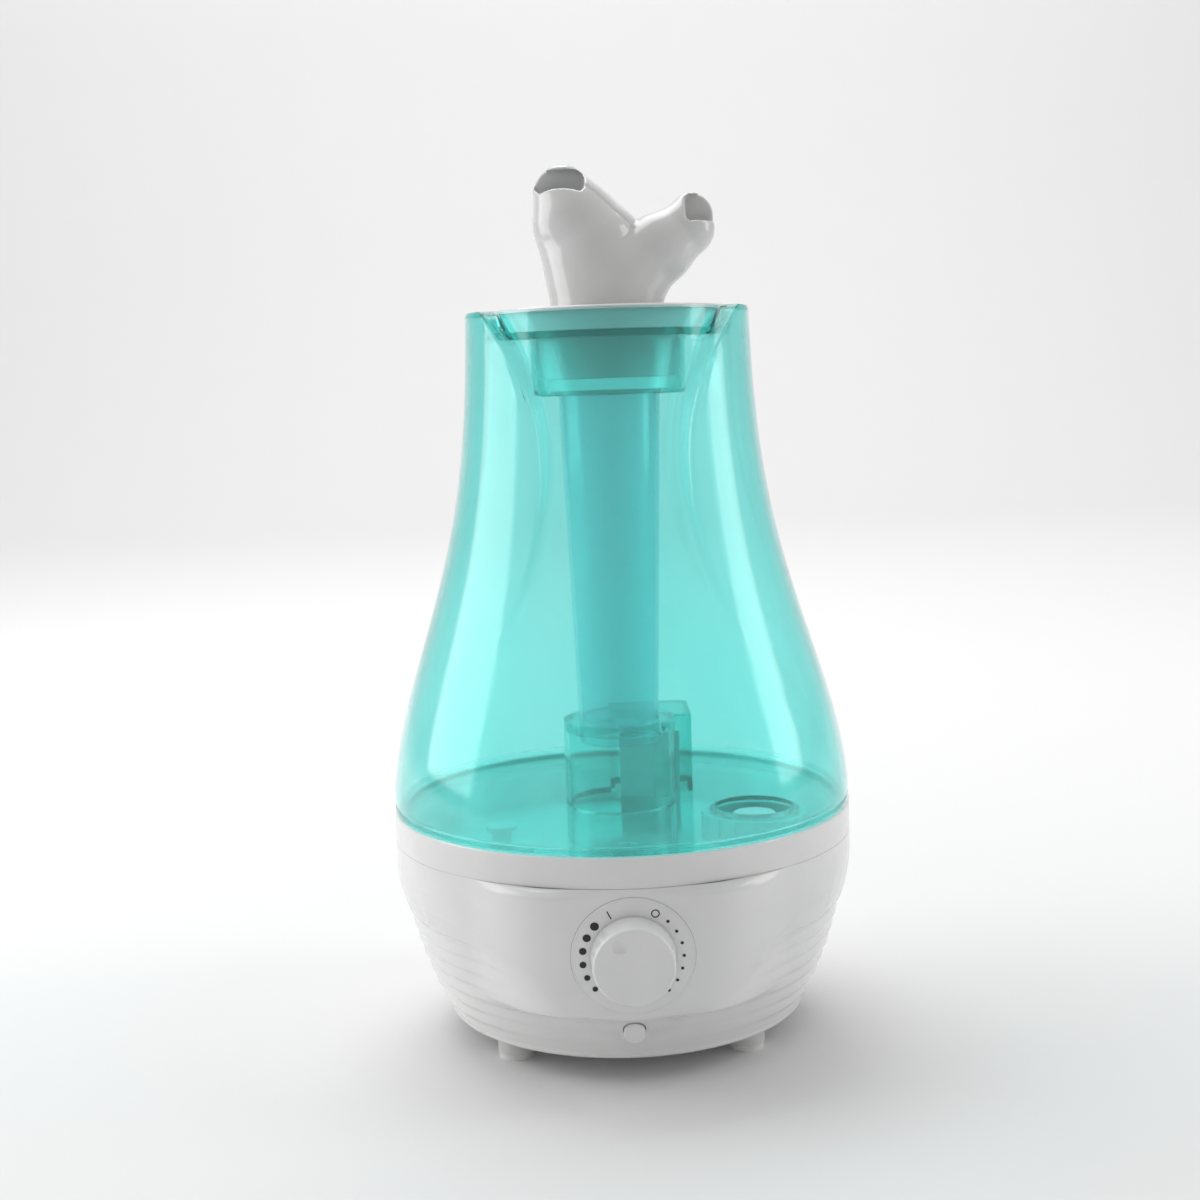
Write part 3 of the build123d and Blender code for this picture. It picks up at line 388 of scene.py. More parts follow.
@dataclass(frozen=True)
class ClearPlastic(Finish):
    """Tinted see-through plastic, whose colour deepens with the length of the path through it.

    shade is what each of its faces lets through of the lamps' light.
    """

    surface: Colour
    deep: Colour
    density: float
    milk: Colour
    shade: Colour
    clearness: float = 0.94
    roughness: float = 0.07
    refraction: float = 1.14
    milkiness: float = 0.35

    def fill(self, made: FinishTree) -> None:
        """Fill the tree."""
        flow = made.noise(16.0, 3.0, made.stretched((1.0, 1.0, 0.35)))
        made.shade(self.surface, self.milk, flow.ease(0.3, 0.8) * self.milkiness)
        made.roughen(made.noise(140.0, 4.0), spread=0.5 * self.roughness, least=0.75 * self.roughness)
        made.bump(made.grain(60.0, 900.0, coarse_share=0.7), depth=0.00005)
        made.set(Transmission_Weight=self.clearness, IOR=self.refraction, Coat_Weight=0.8, Coat_Roughness=0.10)
        self.let_lamps_through(made)
        depth = made.tree.nodes.new("ShaderNodeVolumeAbsorption")
        depth.inputs["Color"].default_value = (*self.deep, 1.0)
        depth.inputs["Density"].default_value = self.density
        made.tree.links.new(depth.outputs[0], made.output.inputs["Volume"])

    def let_lamps_through(self, made: FinishTree) -> None:
        """Give the plastic a tinted shadow, so that what it encloses is lit.

        Args:
            made: The finish's tree.
        """
        nodes, links = made.tree.nodes, made.tree.links
        path, mix = nodes.new("ShaderNodeLightPath"), nodes.new("ShaderNodeMixShader")
        tinted = nodes.new("ShaderNodeBsdfTransparent")
        tinted.inputs["Color"].default_value = (*self.shade, 1.0)
        surface = made.output.inputs["Surface"].links[0].from_socket
        links.new(path.outputs["Is Shadow Ray"], mix.inputs[0])
        links.new(surface, mix.inputs[1])
        links.new(tinted.outputs[0], mix.inputs[2])
        links.new(mix.outputs[0], made.output.inputs["Surface"])


@dataclass(frozen=True)
class Metal(Finish):
    """Bare metal with drawing or turning marks and a little tarnish."""

    colour: Colour
    tarnish: Colour
    roughness: float = 0.28

    def fill(self, made: FinishTree) -> None:
        """Fill the tree."""
        made.shade(self.colour, self.tarnish, made.patches(per_metre=260.0, detail=5.0, low=0.5, high=0.8))
        lines = made.noise(500.0, 2.0, made.stretched((1.0, 1.0, 14.0)))
        made.roughen(lines, spread=0.18, least=0.8 * self.roughness)
        made.bump(lines, depth=0.00003)
        made.set(Metallic=1.0)


@dataclass(frozen=True)
class CircuitBoard(Finish):
    """Green lacquered board with paler copper tracks under the lacquer."""

    lacquer: Colour
    track: Colour

    def fill(self, made: FinishTree) -> None:
        """Fill the tree."""
        track = 1.0 - made.cells(190.0, "DISTANCE_TO_EDGE").ease(0.05, 0.11)
        made.shade(self.lacquer, self.track, track)
        made.roughen(made.noise(900.0), spread=0.12, least=0.24)
        made.bump(track, depth=0.00005)
        made.set(Coat_Weight=0.4)


@dataclass(frozen=True)
class Speckled(Finish):
    """Matt fired or foamed stuff with small pores."""

    colour: Colour
    pore: Colour
    pores_per_metre: float
    roughness: float = 0.75
    depth: float = 0.00015

    def fill(self, made: FinishTree) -> None:
        """Fill the tree."""
        pores = made.cells(self.pores_per_metre).ease(0.0, 0.55)
        made.shade(self.pore, self.colour, pores)
        made.roughen(made.noise(600.0), spread=0.15, least=self.roughness)
        made.bump(pores, self.depth)


@dataclass(frozen=True)
class Sleeve(Finish):
    """Printed shrink sleeve of a capacitor, with one pale stripe."""

    colour: Colour
    stripe: Colour

    def fill(self, made: FinishTree) -> None:
        """Fill the tree."""
        bands = made.noise(140.0, 1.0, made.stretched((1.0, 1.0, 0.02))).ease(0.56, 0.6)
        made.shade(self.colour, self.stripe, bands)
        made.roughen(made.noise(1200.0), spread=0.1, least=0.3)
        made.bump(made.noise(700.0), depth=0.00006)


@dataclass(frozen=True)
class Ink(Finish):
    """Pad-printed ink, matt and a little uneven."""

    colour: Colour
    thin: Colour

    def fill(self, made: FinishTree) -> None:
        """Fill the tree."""
        made.shade(self.colour, self.thin, made.patches(per_metre=2400.0, detail=4.0, low=0.55, high=0.8))
        made.roughen(made.noise(1500.0), spread=0.2, least=0.35)
        made.bump(made.noise(5000.0), depth=0.00003)


FINISHES: dict[str, Finish] = {
    "white_gloss": Moulded("white gloss plastic", (0.755, 0.755, 0.75), 0.22, Texture.POLISHED, coat=0.35),
    # A darker copy of the white gloss for the nozzle: its lower colour is painted shade.
    "nozzle_shaded_gloss": Moulded("white gloss plastic with painted nozzle shade", (0.64, 0.64, 0.635), 0.20, Texture.POLISHED, coat=0.40),
    "white_plastic": Moulded("white fine plastic", (0.66, 0.66, 0.655), 0.42, Texture.SATIN),
    "teal_clear": ClearPlastic(
        "clear teal plastic",
        surface=(0.67, 0.958, 0.942),
        deep=(0.02, 0.89, 0.87),
        density=92.0,
        milk=(0.32, 0.92, 0.89),
        shade=(0.86, 0.99, 0.985),
    ),
    "blue_clear": ClearPlastic(
        "clear blue tube",
        surface=(0.62, 0.92, 0.93),
        deep=(0.20, 0.80, 0.84),
        density=95.0,
        milk=(0.26, 0.66, 0.68),
        shade=(0.82, 0.95, 0.96),
        clearness=0.82,
    ),
    "white_rubber": Moulded("white rubber", (0.74, 0.74, 0.73), 0.62, Texture.RUBBERY, mottle=0.06),
    "grey_rubber": Moulded("grey silicone", (0.34, 0.35, 0.36), 0.55, Texture.RUBBERY, mottle=0.08),
    "dark_plastic": Moulded("dark plastic", (0.030, 0.031, 0.034), 0.46, Texture.SPARKED, mottle=0.2),
    "steel": Metal("plated steel", (0.62, 0.62, 0.60), (0.44, 0.43, 0.41)),
    "aluminium": Metal("drawn aluminium", (0.78, 0.79, 0.80), (0.60, 0.61, 0.62), 0.36),
    "brass": Metal("turned brass", (0.74, 0.54, 0.24), (0.52, 0.36, 0.16), 0.3),
    "copper": Metal("lacquered copper", (0.76, 0.36, 0.18), (0.50, 0.20, 0.09), 0.24),
    "capacitor_sleeve": Sleeve("capacitor sleeve", (0.02, 0.025, 0.06), (0.55, 0.56, 0.58)),
    "circuit_board": CircuitBoard("circuit board", (0.010, 0.11, 0.045), (0.07, 0.26, 0.10)),
    "ceramic": Speckled("mist disc ceramic", (0.62, 0.55, 0.40), (0.45, 0.38, 0.26), 2600.0, 0.45, 0.00004),
    "float_foam": Speckled("float foam", (0.80, 0.80, 0.76), (0.50, 0.50, 0.47), 1500.0),
    "magnet": Speckled("ferrite magnet", (0.06, 0.058, 0.06), (0.03, 0.03, 0.03), 2200.0, 0.5, 0.00006),
    "dial_ink": Ink("dial ink", (0.012, 0.012, 0.013), (0.05, 0.05, 0.05)),
}

NODE_FINISHES: dict[str, tuple[str, ...]] = {
    "white_gloss": ("top_lid", "control_knob", "push_button", "water_basin", "base_housing"),
    "nozzle_shaded_gloss": ("mist_nozzle",),
    "white_plastic": ("bottom_cover", "dial_plate", "fill_cap", "valve_plunger", "float_retainer", "air_duct"),
    "teal_clear": ("tank_shell", "tank_floor"),
    "blue_clear": ("mist_tube",),
    "white_rubber": ("foot_pads",),
    "grey_rubber": ("transducer_seal", "cap_gasket", "valve_seal"),
    "dark_plastic": ("fan_frame", "fan_rotor", "button_switch", "dc_inlet", "power_transistor", "reed_switch"),
    "steel": (
        "cover_screws", "fan_screws", "fan_shaft", "transducer_screws", "valve_spring", "pot_shaft", "pot_washer",
        "pot_nut", "inlet_nut",
    ),
    "aluminium": ("heat_sink", "transducer_clamp", "control_pot"),
    "brass": ("inlet_pin", "fan_bearing"),
    "copper": ("driver_coil",),
    "capacitor_sleeve": ("driver_capacitors",),
    "circuit_board": ("driver_board", "control_board"),
    "ceramic": ("transducer_disc",),
    "float_foam": ("level_float",),
    "magnet": ("float_magnet",),
}


class Paintbox:
    """The finishes, each made into a material once."""

    def __init__(self) -> None:
        """Start with no material made."""
        self._made: dict[str, bpy.types.Material] = {}

    def get(self, finish: str) -> bpy.types.Material:
        """Give a finish's material.

        Args:
            finish: Key of the finish.

        Returns:
            The material.
        """
        if finish not in self._made:
            self._made[finish] = FINISHES[finish].build()
        return self._made[finish]

    def paint(self, piece: bpy.types.Object, finish: str) -> None:
        """Give a piece one finish all over.

        Args:
            piece: The piece.
            finish: Key of the finish.
        """
        piece.data.materials.clear()
        piece.data.materials.append(self.get(finish))


# ---------------------------------------------------------------- mesh helpers
def mesh_piece(name: str, points: Sequence, faces: Iterable[Sequence[int]]) -> bpy.types.Object:
    """Make a mesh object at the origin.

    Args:
        name: Object name.
        points: Vertex positions in metres.
        faces: Vertex numbers of each face.

    Returns:
        The new object, linked to the scene.
    """
    mesh = bpy.data.meshes.new(name)
    mesh.from_pydata([tuple(point) for point in points], [], [tuple(face) for face in faces])
    mesh.update()
    piece = bpy.data.objects.new(name, mesh)
    bpy.context.scene.collection.objects.link(piece)
    return piece


def soften(piece: bpy.types.Object, sharp_degrees: float = 32.0) -> None:
    """Shade a mesh smooth, but for its sharp edges.

    Args:
        piece: The mesh object.
        sharp_degrees: Angle from which an edge is sharp.
    """
    piece.data.shade_smooth()
    piece.data.set_sharp_from_angle(angle=math.radians(sharp_degrees))


def settle(piece: bpy.types.Object) -> None:
    """Turn a piece's modifiers into plain mesh.

    Args:
        piece: The object, whose mesh is replaced by the evaluated one.
    """
    bpy.context.view_layer.update()
    graph = bpy.context.evaluated_depsgraph_get()
    plain = bpy.data.meshes.new_from_object(piece.evaluated_get(graph), depsgraph=graph)
    plain.name = piece.name
    piece.modifiers.clear()
    piece.data = plain


def turn_outwards(piece: bpy.types.Object) -> None:
    """Make every face of a closed mesh look outwards.

    Args:
        piece: The mesh object.
    """
    form = bmesh.new()
    form.from_mesh(piece.data)
    bmesh.ops.recalc_face_normals(form, faces=form.faces)
    if form.calc_volume(signed=True) < 0.0:
        bmesh.ops.reverse_faces(form, faces=form.faces)
    form.to_mesh(piece.data)
    form.free()


def carve(piece: bpy.types.Object, tools: Sequence[bpy.types.Object], operation: str = "DIFFERENCE") -> None:
    """Cut tools out of a piece, or add them to it, and remove the tools.

    Args:
        piece: The object to change.
        tools: Closed meshes.
        operation: The Boolean modifier's operation.
    """
    for tool in tools:
        cut = piece.modifiers.new(tool.name, "BOOLEAN")
        cut.operation = operation
        cut.solver = "EXACT"
        cut.object = tool
    settle(piece)
    for tool in tools:
        bpy.data.objects.remove(tool)


def merged_copy(name: str, node: bpy.types.Object) -> bpy.types.Object:
    """A copy of a node whose loose triangles are joined up.

    Args:
        name: Name of the copy.
        node: The node's object.

    Returns:
        The copy, at the origin.
    """
    form = bmesh.new()
    form.from_mesh(node.data)
    bmesh.ops.remove_doubles(form, verts=form.verts, dist=WELD)
    bmesh.ops.dissolve_degenerate(form, edges=form.edges, dist=WELD / 2)
    form.verts.index_update()
    points = [tuple(vert.co) for vert in form.verts]
    faces = [tuple(vert.index for vert in face.verts) for face in form.faces]
    form.free()
    return mesh_piece(name, points, faces)


def rows_between(low: float, high: float, rows: int) -> list[float]:
    """Evenly spaced numbers from low to high, both included.

    Args:
        low: The first number.
        high: The last number.
        rows: How many steps.

    Returns:
        The numbers.
    """
    return [low + (high - low) * row / rows for row in range(rows + 1)]


@dataclass(frozen=True)
class Station:
    """One ring of a turned form's closed profile.

    rise is its height, inset how far it lies inside the outer skin, cap the most its radius may be, drop how far
    it comes down where a panel is sunk, and plain is 1 where surface detail such as ribs is left off.
    """

    rise: float
    inset: float = 0.0
    cap: float = 1.0
    drop: float = 0.0
    plain: float = 0.0


TURN_KEYS = ("share", "side", "front", "angle")  # what a lattice's points may carry besides


def ring_lattice(name: str, stations: Sequence[Station], turns: Sequence[dict[str, float]]) -> bpy.types.Object:
    """A closed lattice of rings that a geometry tree puts in place by its rule.

    Args:
        name: Object name.
        stations: The profile's rings in order; the last joins the first.
        turns: What is known of each point round a ring, one dict per point.

    Returns:
        The object, whose points carry the stations' and turns' values as attributes.
    """
    around = len(turns)
    count = len(stations) * around
    points = np.zeros((count, 3))
    faces = []
    for row in range(len(stations)):
        here, above = row * around, (row + 1) % len(stations) * around
        for place in range(around):
            angle = math.tau * place / around
            points[here + place] = (math.sin(angle), -math.cos(angle), row * MM)
            beside = (place + 1) % around
            faces.append((here + place, here + beside, above + beside, above + place))
    piece = mesh_piece(name, points, faces)
    values = {key: np.repeat([getattr(s, key) for s in stations], around) for key in Station.__dataclass_fields__}
    values |= {key: np.tile([turn[key] for turn in turns], len(stations)) for key in turns[0]}
    for key, numbers in values.items():
        attribute = piece.data.attributes.new(key, "FLOAT", "POINT")
        attribute.data.foreach_set("value", numbers.astype(np.float32))
    return piece


# ---------------------------------------------------------------- geometry trees
class FormTree:
    """A geometry tree with named size inputs, which ends in Realize Instances and Set Material."""

    def __init__(self, name: str) -> None:
        """Start the tree with its geometry in and out.

        Args:
            name: Name of the tree.
        """
        self.tree = bpy.data.node_groups.new(name, "GeometryNodeTree")
        self.tree.interface.new_socket("Geometry", in_out="INPUT", socket_type="NodeSocketGeometry")
        self.tree.interface.new_socket("Geometry", in_out="OUTPUT", socket_type="NodeSocketGeometry")
        self.start = self.tree.nodes.new("NodeGroupInput")
        self.end = self.tree.nodes.new("NodeGroupOutput")
        self.sizes: dict[str, tuple[str, float]] = {}

    def size(self, name: str, value: float) -> Term:
        """Add a named number input.

        Args:
            name: The input's name.
            value: What a modifier gives it.

        Returns:
            The input's number.
        """
        socket = self.tree.interface.new_socket(name, in_out="INPUT", socket_type="NodeSocketFloat")
        self.sizes[name] = (socket.identifier, value)
        return Term(self.tree, self.start.outputs[name])

    def sizes_of(self, owner: object, *names: str) -> list[Term]:
        """Add a number input for each of an owner's fields, named after it.

        Args:
            owner: What has the fields.
            names: The fields' names.

        Returns:
            The inputs' numbers.
        """
        return [self.size(name.replace("_", " ").title(), float(getattr(owner, name))) for name in names]

    def attribute(self, name: str) -> Term:
        """Read a number that the points carry."""
        node = self.tree.nodes.new("GeometryNodeInputNamedAttribute")
        node.data_type = "FLOAT"
        node.inputs["Name"].default_value = name
        return Term(self.tree, node.outputs[0])

    def node(self, kind: str, inputs: dict[str, object] | None = None, **options: object) -> bpy.types.Node:
        """Add a node.

        Args:
            kind: The node's type.
            inputs: Socket name and the value or socket that it gets.
            options: The node's own settings.

        Returns:
            The node.
        """
        made = self.tree.nodes.new(kind)
        for name, value in options.items():
            setattr(made, name, value)
        for name, value in (inputs or {}).items():
            if isinstance(value, Term):
                value = value.socket
            if isinstance(value, bpy.types.NodeSocket):
                self.tree.links.new(value, made.inputs[name])
            else:
                made.inputs[name].default_value = value
        return made

    def vector(self, x: Term | float, y: Term | float, z: Term | float) -> bpy.types.NodeSocket:
        """Join three numbers into a vector."""
        return self.node("ShaderNodeCombineXYZ", {"X": x, "Y": y, "Z": z}).outputs[0]

    def moved(self, geometry: bpy.types.NodeSocket, place: bpy.types.NodeSocket) -> bpy.types.NodeSocket:
        """Put every point of a geometry in its place."""
        return self.node("GeometryNodeSetPosition", {"Geometry": geometry, "Position": place}).outputs[0]

    def row(self, count: Term) -> tuple[bpy.types.NodeSocket, Term]:
        """A row of loose points.

        Args:
            count: How many.

        Returns:
            The points, and each point's number from 0 on.
        """
        whole = self.node("FunctionNodeFloatToInt", {"Float": count}).outputs[0]
        line = self.node("GeometryNodeMeshLine", {"Count": whole})
        return line.outputs[0], Term(self.tree, self.node("GeometryNodeInputIndex").outputs[0])

    def close(self, geometry: bpy.types.NodeSocket, material: bpy.types.Material) -> None:
        """End the tree.

        Args:
            geometry: What the tree has made.
            material: The finish it gets.
        """
        plain = self.node("GeometryNodeRealizeInstances", {"Geometry": geometry})
        dressed = self.node("GeometryNodeSetMaterial", {"Geometry": plain.outputs[0], "Material": material})
        self.tree.links.new(dressed.outputs[0], self.end.inputs[0])

    def shape(self, piece: bpy.types.Object) -> None:
        """Run the tree on a piece and keep the result as its mesh.

        Args:
            piece: The object.
        """
        modifier = piece.modifiers.new(self.tree.name, "NODES")
        modifier.node_group = self.tree
        for identifier, value in self.sizes.values():
            modifier[identifier] = value
        settle(piece)
        for name in (*Station.__dataclass_fields__, *TURN_KEYS):
            if name in piece.data.attributes:
                piece.data.attributes.remove(piece.data.attributes[name])

    def sprout(self, name: str, geometry: bpy.types.NodeSocket, material: bpy.types.Material) -> bpy.types.Object:
        """End a tree that needs no mesh to start from, and run it.

        Args:
            name: Name of the piece.
            geometry: What the tree has made.
            material: The finish it gets.

        Returns:
            The piece.
        """
        self.close(geometry, material)
        piece = mesh_piece(name, [(0.0, 0.0, 0.0)], [])
        self.shape(piece)
        return piece


# ---------------------------------------------------------------- workshop
@dataclass
class Workshop:
    """What every sub-assembly needs: the frame, the paintbox and a list of what was made."""

    frame: dict
    paints: Paintbox = field(default_factory=Paintbox)
    made: list[str] = field(default_factory=list)

    def fit(self, piece: bpy.types.Object, body: str, slot: str, *nodes: str) -> None:
        """Put a finished piece on its body.

        Args:
            piece: The piece.
            body: Body that it rides on.
            slot: The record's material slot; not used.
            nodes: CAD nodes that it stands for.
        """
        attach(piece, body)
        if nodes:
            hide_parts(*nodes)
        self.made.append(piece.name)
        LOG.info("%s: %d faces on body %s", piece.name, len(piece.data.polygons), body)

    def polish(self, node: str, body: str, finish: str, bevel: float = 0.0, slot: str | None = None) -> None:
        """Stand a smooth, joined-up copy in for a CAD node.

        Args:
            node: The CAD node.
            body: Its body.
            finish: Key of the finish.
            bevel: Width of the rounding on sharp edges, or 0.
            slot: The record's slot, where it differs from the finish.
        """
        piece = merged_copy(f"{node}_moulding", self.frame["nodes"][node])
        if bevel:
            rounding = piece.modifiers.new("edge rounding", "BEVEL")
            rounding.width = bevel
            rounding.segments = 3
            rounding.limit_method = "ANGLE"
            rounding.angle_limit = math.radians(38.0)
            rounding.use_clamp_overlap = True
            settle(piece)
        self.paints.paint(piece, finish)
        soften(piece, 30.0)
        self.fit(piece, body, slot or finish, node)

    def dress_nodes(self) -> None:
        """Give every CAD node its finish."""
        for finish, nodes in NODE_FINISHES.items():
            for node in nodes:
                self.paints.paint(self.frame["nodes"][node], finish)


# ---------------------------------------------------------------- tank
@dataclass(frozen=True)
class Curl:
    """How far the crease swings away from the waist: by so many degrees over a height, at a power."""

    height: float
    power: float
    degrees: float

    def of(self, above: Term) -> Term:
        """The swing in radians at a height above or below the waist."""
        return (above / self.height).at_least(0.0) ** self.power * math.radians(self.degrees)


@dataclass
class Tank:
    """The pear-shaped tank: its walls follow a bell curve, with a sunk panel at the front and at the back."""

    shop: Workshop
    foot_radius: float = 0.095
    neck_radius: float = 0.057
    bell_start: float = 0.0955
    bell_span: float = 0.0983
    bell_power: float = 1.92
    top: float = 0.298
    foot: float = 0.0983
    wall: float = 0.0024
    recess: float = 0.0075
    recess_run: float = 0.130
    recess_full: float = 0.053
    waist: float = 0.228
    waist_degrees: float = 29.0
    seat_radius: float = 0.0502
    seat_step: float = 0.0478
    deck_top: float = 0.289
    deck_under: float = 0.2865
    cup_radius: float = 0.0315
    cup_foot: float = 0.264
    tube_hole: float = 0.0209
    rim: float = 0.0014  # from the lid's seat up to the top
    crown: float = 0.0004  # how far the rim is lower over a sunk panel
    rounding: float = 0.0006
    foot_rounding: float = 0.0004
    seat_inset: float = 0.0007
    ear_gap: float = 0.0005
    under_gap: float = 0.0003
    cup_wall: float = 0.0020
    deck_fillet: float = 0.0008
    flare: Curl = Curl(0.070, 2.60, 34.0)  # the crease swings outwards above the waist
    spread: Curl = Curl(0.056, 1.88, 8.5)  # and below it
    step_lead: float = 3.0  # the step starts these degrees before the crease
    step_width: float = 2.6
    panel_share: float = 0.36  # of a quarter's points are on the panel
    lobe_from: float = 0.66
    per_quarter: int = 44
    rows: int = 64

    def stations(self) -> list[Station]:
        """The closed profile, from the foot up the outside, through the lid's seat and cup, and down inside.

        Returns:
            The stations in order.
        """
        seat_low, bore = self.top - self.rim, self.cup_radius - self.cup_wall
        outside = [Station(self.foot, self.foot_rounding)]
        outside += [Station(rise) for rise in rows_between(self.foot, seat_low, self.rows)[1:]]
        outside += [
            Station(self.top - self.rounding, drop=self.crown),
            Station(self.top - self.rounding / 4, self.rounding / 3, drop=self.crown),
            Station(self.top, self.rounding, drop=self.crown),
        ]
        seat = [
            Station(self.top, self.seat_inset, self.seat_radius, self.crown),
            Station(seat_low, self.seat_inset, self.seat_radius),
            Station(seat_low, 0.0, self.seat_step),
            Station(self.deck_top, 0.0, self.seat_step),
            Station(self.deck_top, 0.0, bore),
            Station(self.cup_foot + self.cup_wall, 0.0, bore),
            Station(self.cup_foot + self.cup_wall, 0.0, self.tube_hole),
            Station(self.cup_foot, 0.0, self.tube_hole),
            Station(self.cup_foot, 0.0, self.cup_radius - self.rounding),
            Station(self.cup_foot + self.rounding, 0.0, self.cup_radius),
            Station(self.deck_under - self.deck_fillet, 0.0, self.cup_radius),
            Station(self.deck_under, 0.0, self.cup_radius + self.deck_fillet),
        ]
        roof, ear_inset = self.top - self.wall, self.wall + self.ear_gap
        ears = [
            Station(self.deck_under, ear_inset, self.seat_radius),
            Station(roof, ear_inset, self.seat_radius, roof - self.deck_under),
            Station(roof, self.wall, drop=roof - self.deck_under),
        ]
        under = rows_between(self.deck_under - self.under_gap, self.foot, self.rows)
        return outside + seat + ears + [Station(rise, self.wall) for rise in under]

    def walls(self) -> bpy.types.Object:
        """The tank's walls, deck and cup in one closed form.

        Returns:
            The object.
        """
        turns = []
        for place in range(4 * self.per_quarter):
            quarter, step = divmod(place, self.per_quarter)
            share = step / self.per_quarter
            turns.append({
                "share": share if quarter % 2 == 0 else 1.0 - share,
                "side": 1.0 if quarter < 2 else -1.0,
                "front": 1.0 if quarter in (0, 3) else -1.0,
            })
        piece = ring_lattice("tank_walls", self.stations(), turns)
        form = FormTree("tank wall rule")
        foot_radius, neck_radius, span, power, recess, waist = form.sizes_of(
            self, "foot_radius", "neck_radius", "bell_span", "bell_power", "recess", "waist"
        )
        waist_angle = form.size("Waist Angle", math.radians(self.waist_degrees))
        rise, inset = form.attribute("rise"), form.attribute("inset")
        share = form.attribute("share")

        climb = ((rise - self.bell_start) / span).at_least(0.0001)
        bell = (climb**power * -1.0).exponential()
        outer = bell * (foot_radius - neck_radius) + neck_radius
        crease = waist_angle + self.flare.of(rise - waist) + self.spread.of(waist - rise) + inset / outer
        low = self.top - self.recess_run
        depth = rise.ease(low, self.top - self.recess_full) * recess

        # The panel, the step at the crease and the lobe share out the points of a quarter turn.
        step_share = share.share(self.panel_share, self.lobe_from)
        step_in = crease - math.radians(self.step_lead)
        step_wide = math.radians(self.step_width)
        angle = share.share(0.0, self.panel_share) * step_in + step_share * step_wide
        angle = angle + share.share(self.lobe_from, 1.0) * (math.pi / 2 - step_in - step_wide)
        sunk = (1.0 - step_share.ease(0.0, 1.0)) * depth
        radius = (outer - sunk - inset).at_most(form.attribute("cap"))
        height = rise - form.attribute("drop") * (sunk / recess)

        x = radius * angle.sine() * form.attribute("side")
        y = radius * angle.cosine() * form.attribute("front") * -1.0
        placed = form.moved(form.start.outputs["Geometry"], form.vector(x, y, height))
        form.close(placed, self.shop.paints.get("teal_clear"))
        form.shape(piece)
        soften(piece, 40.0)
        return piece

    def build(self) -> None:
        """Make the tank and its fittings."""
        self.shop.fit(self.walls(), "tank", "teal_clear", "tank_shell")
        self.shop.polish("tank_floor", "tank", "teal_clear")
        self.shop.polish("mist_tube", "tank", "blue_clear")
        self.shop.polish("fill_cap", "filler", "white_plastic")
        self.shop.polish("top_lid", "lid", "white_gloss")


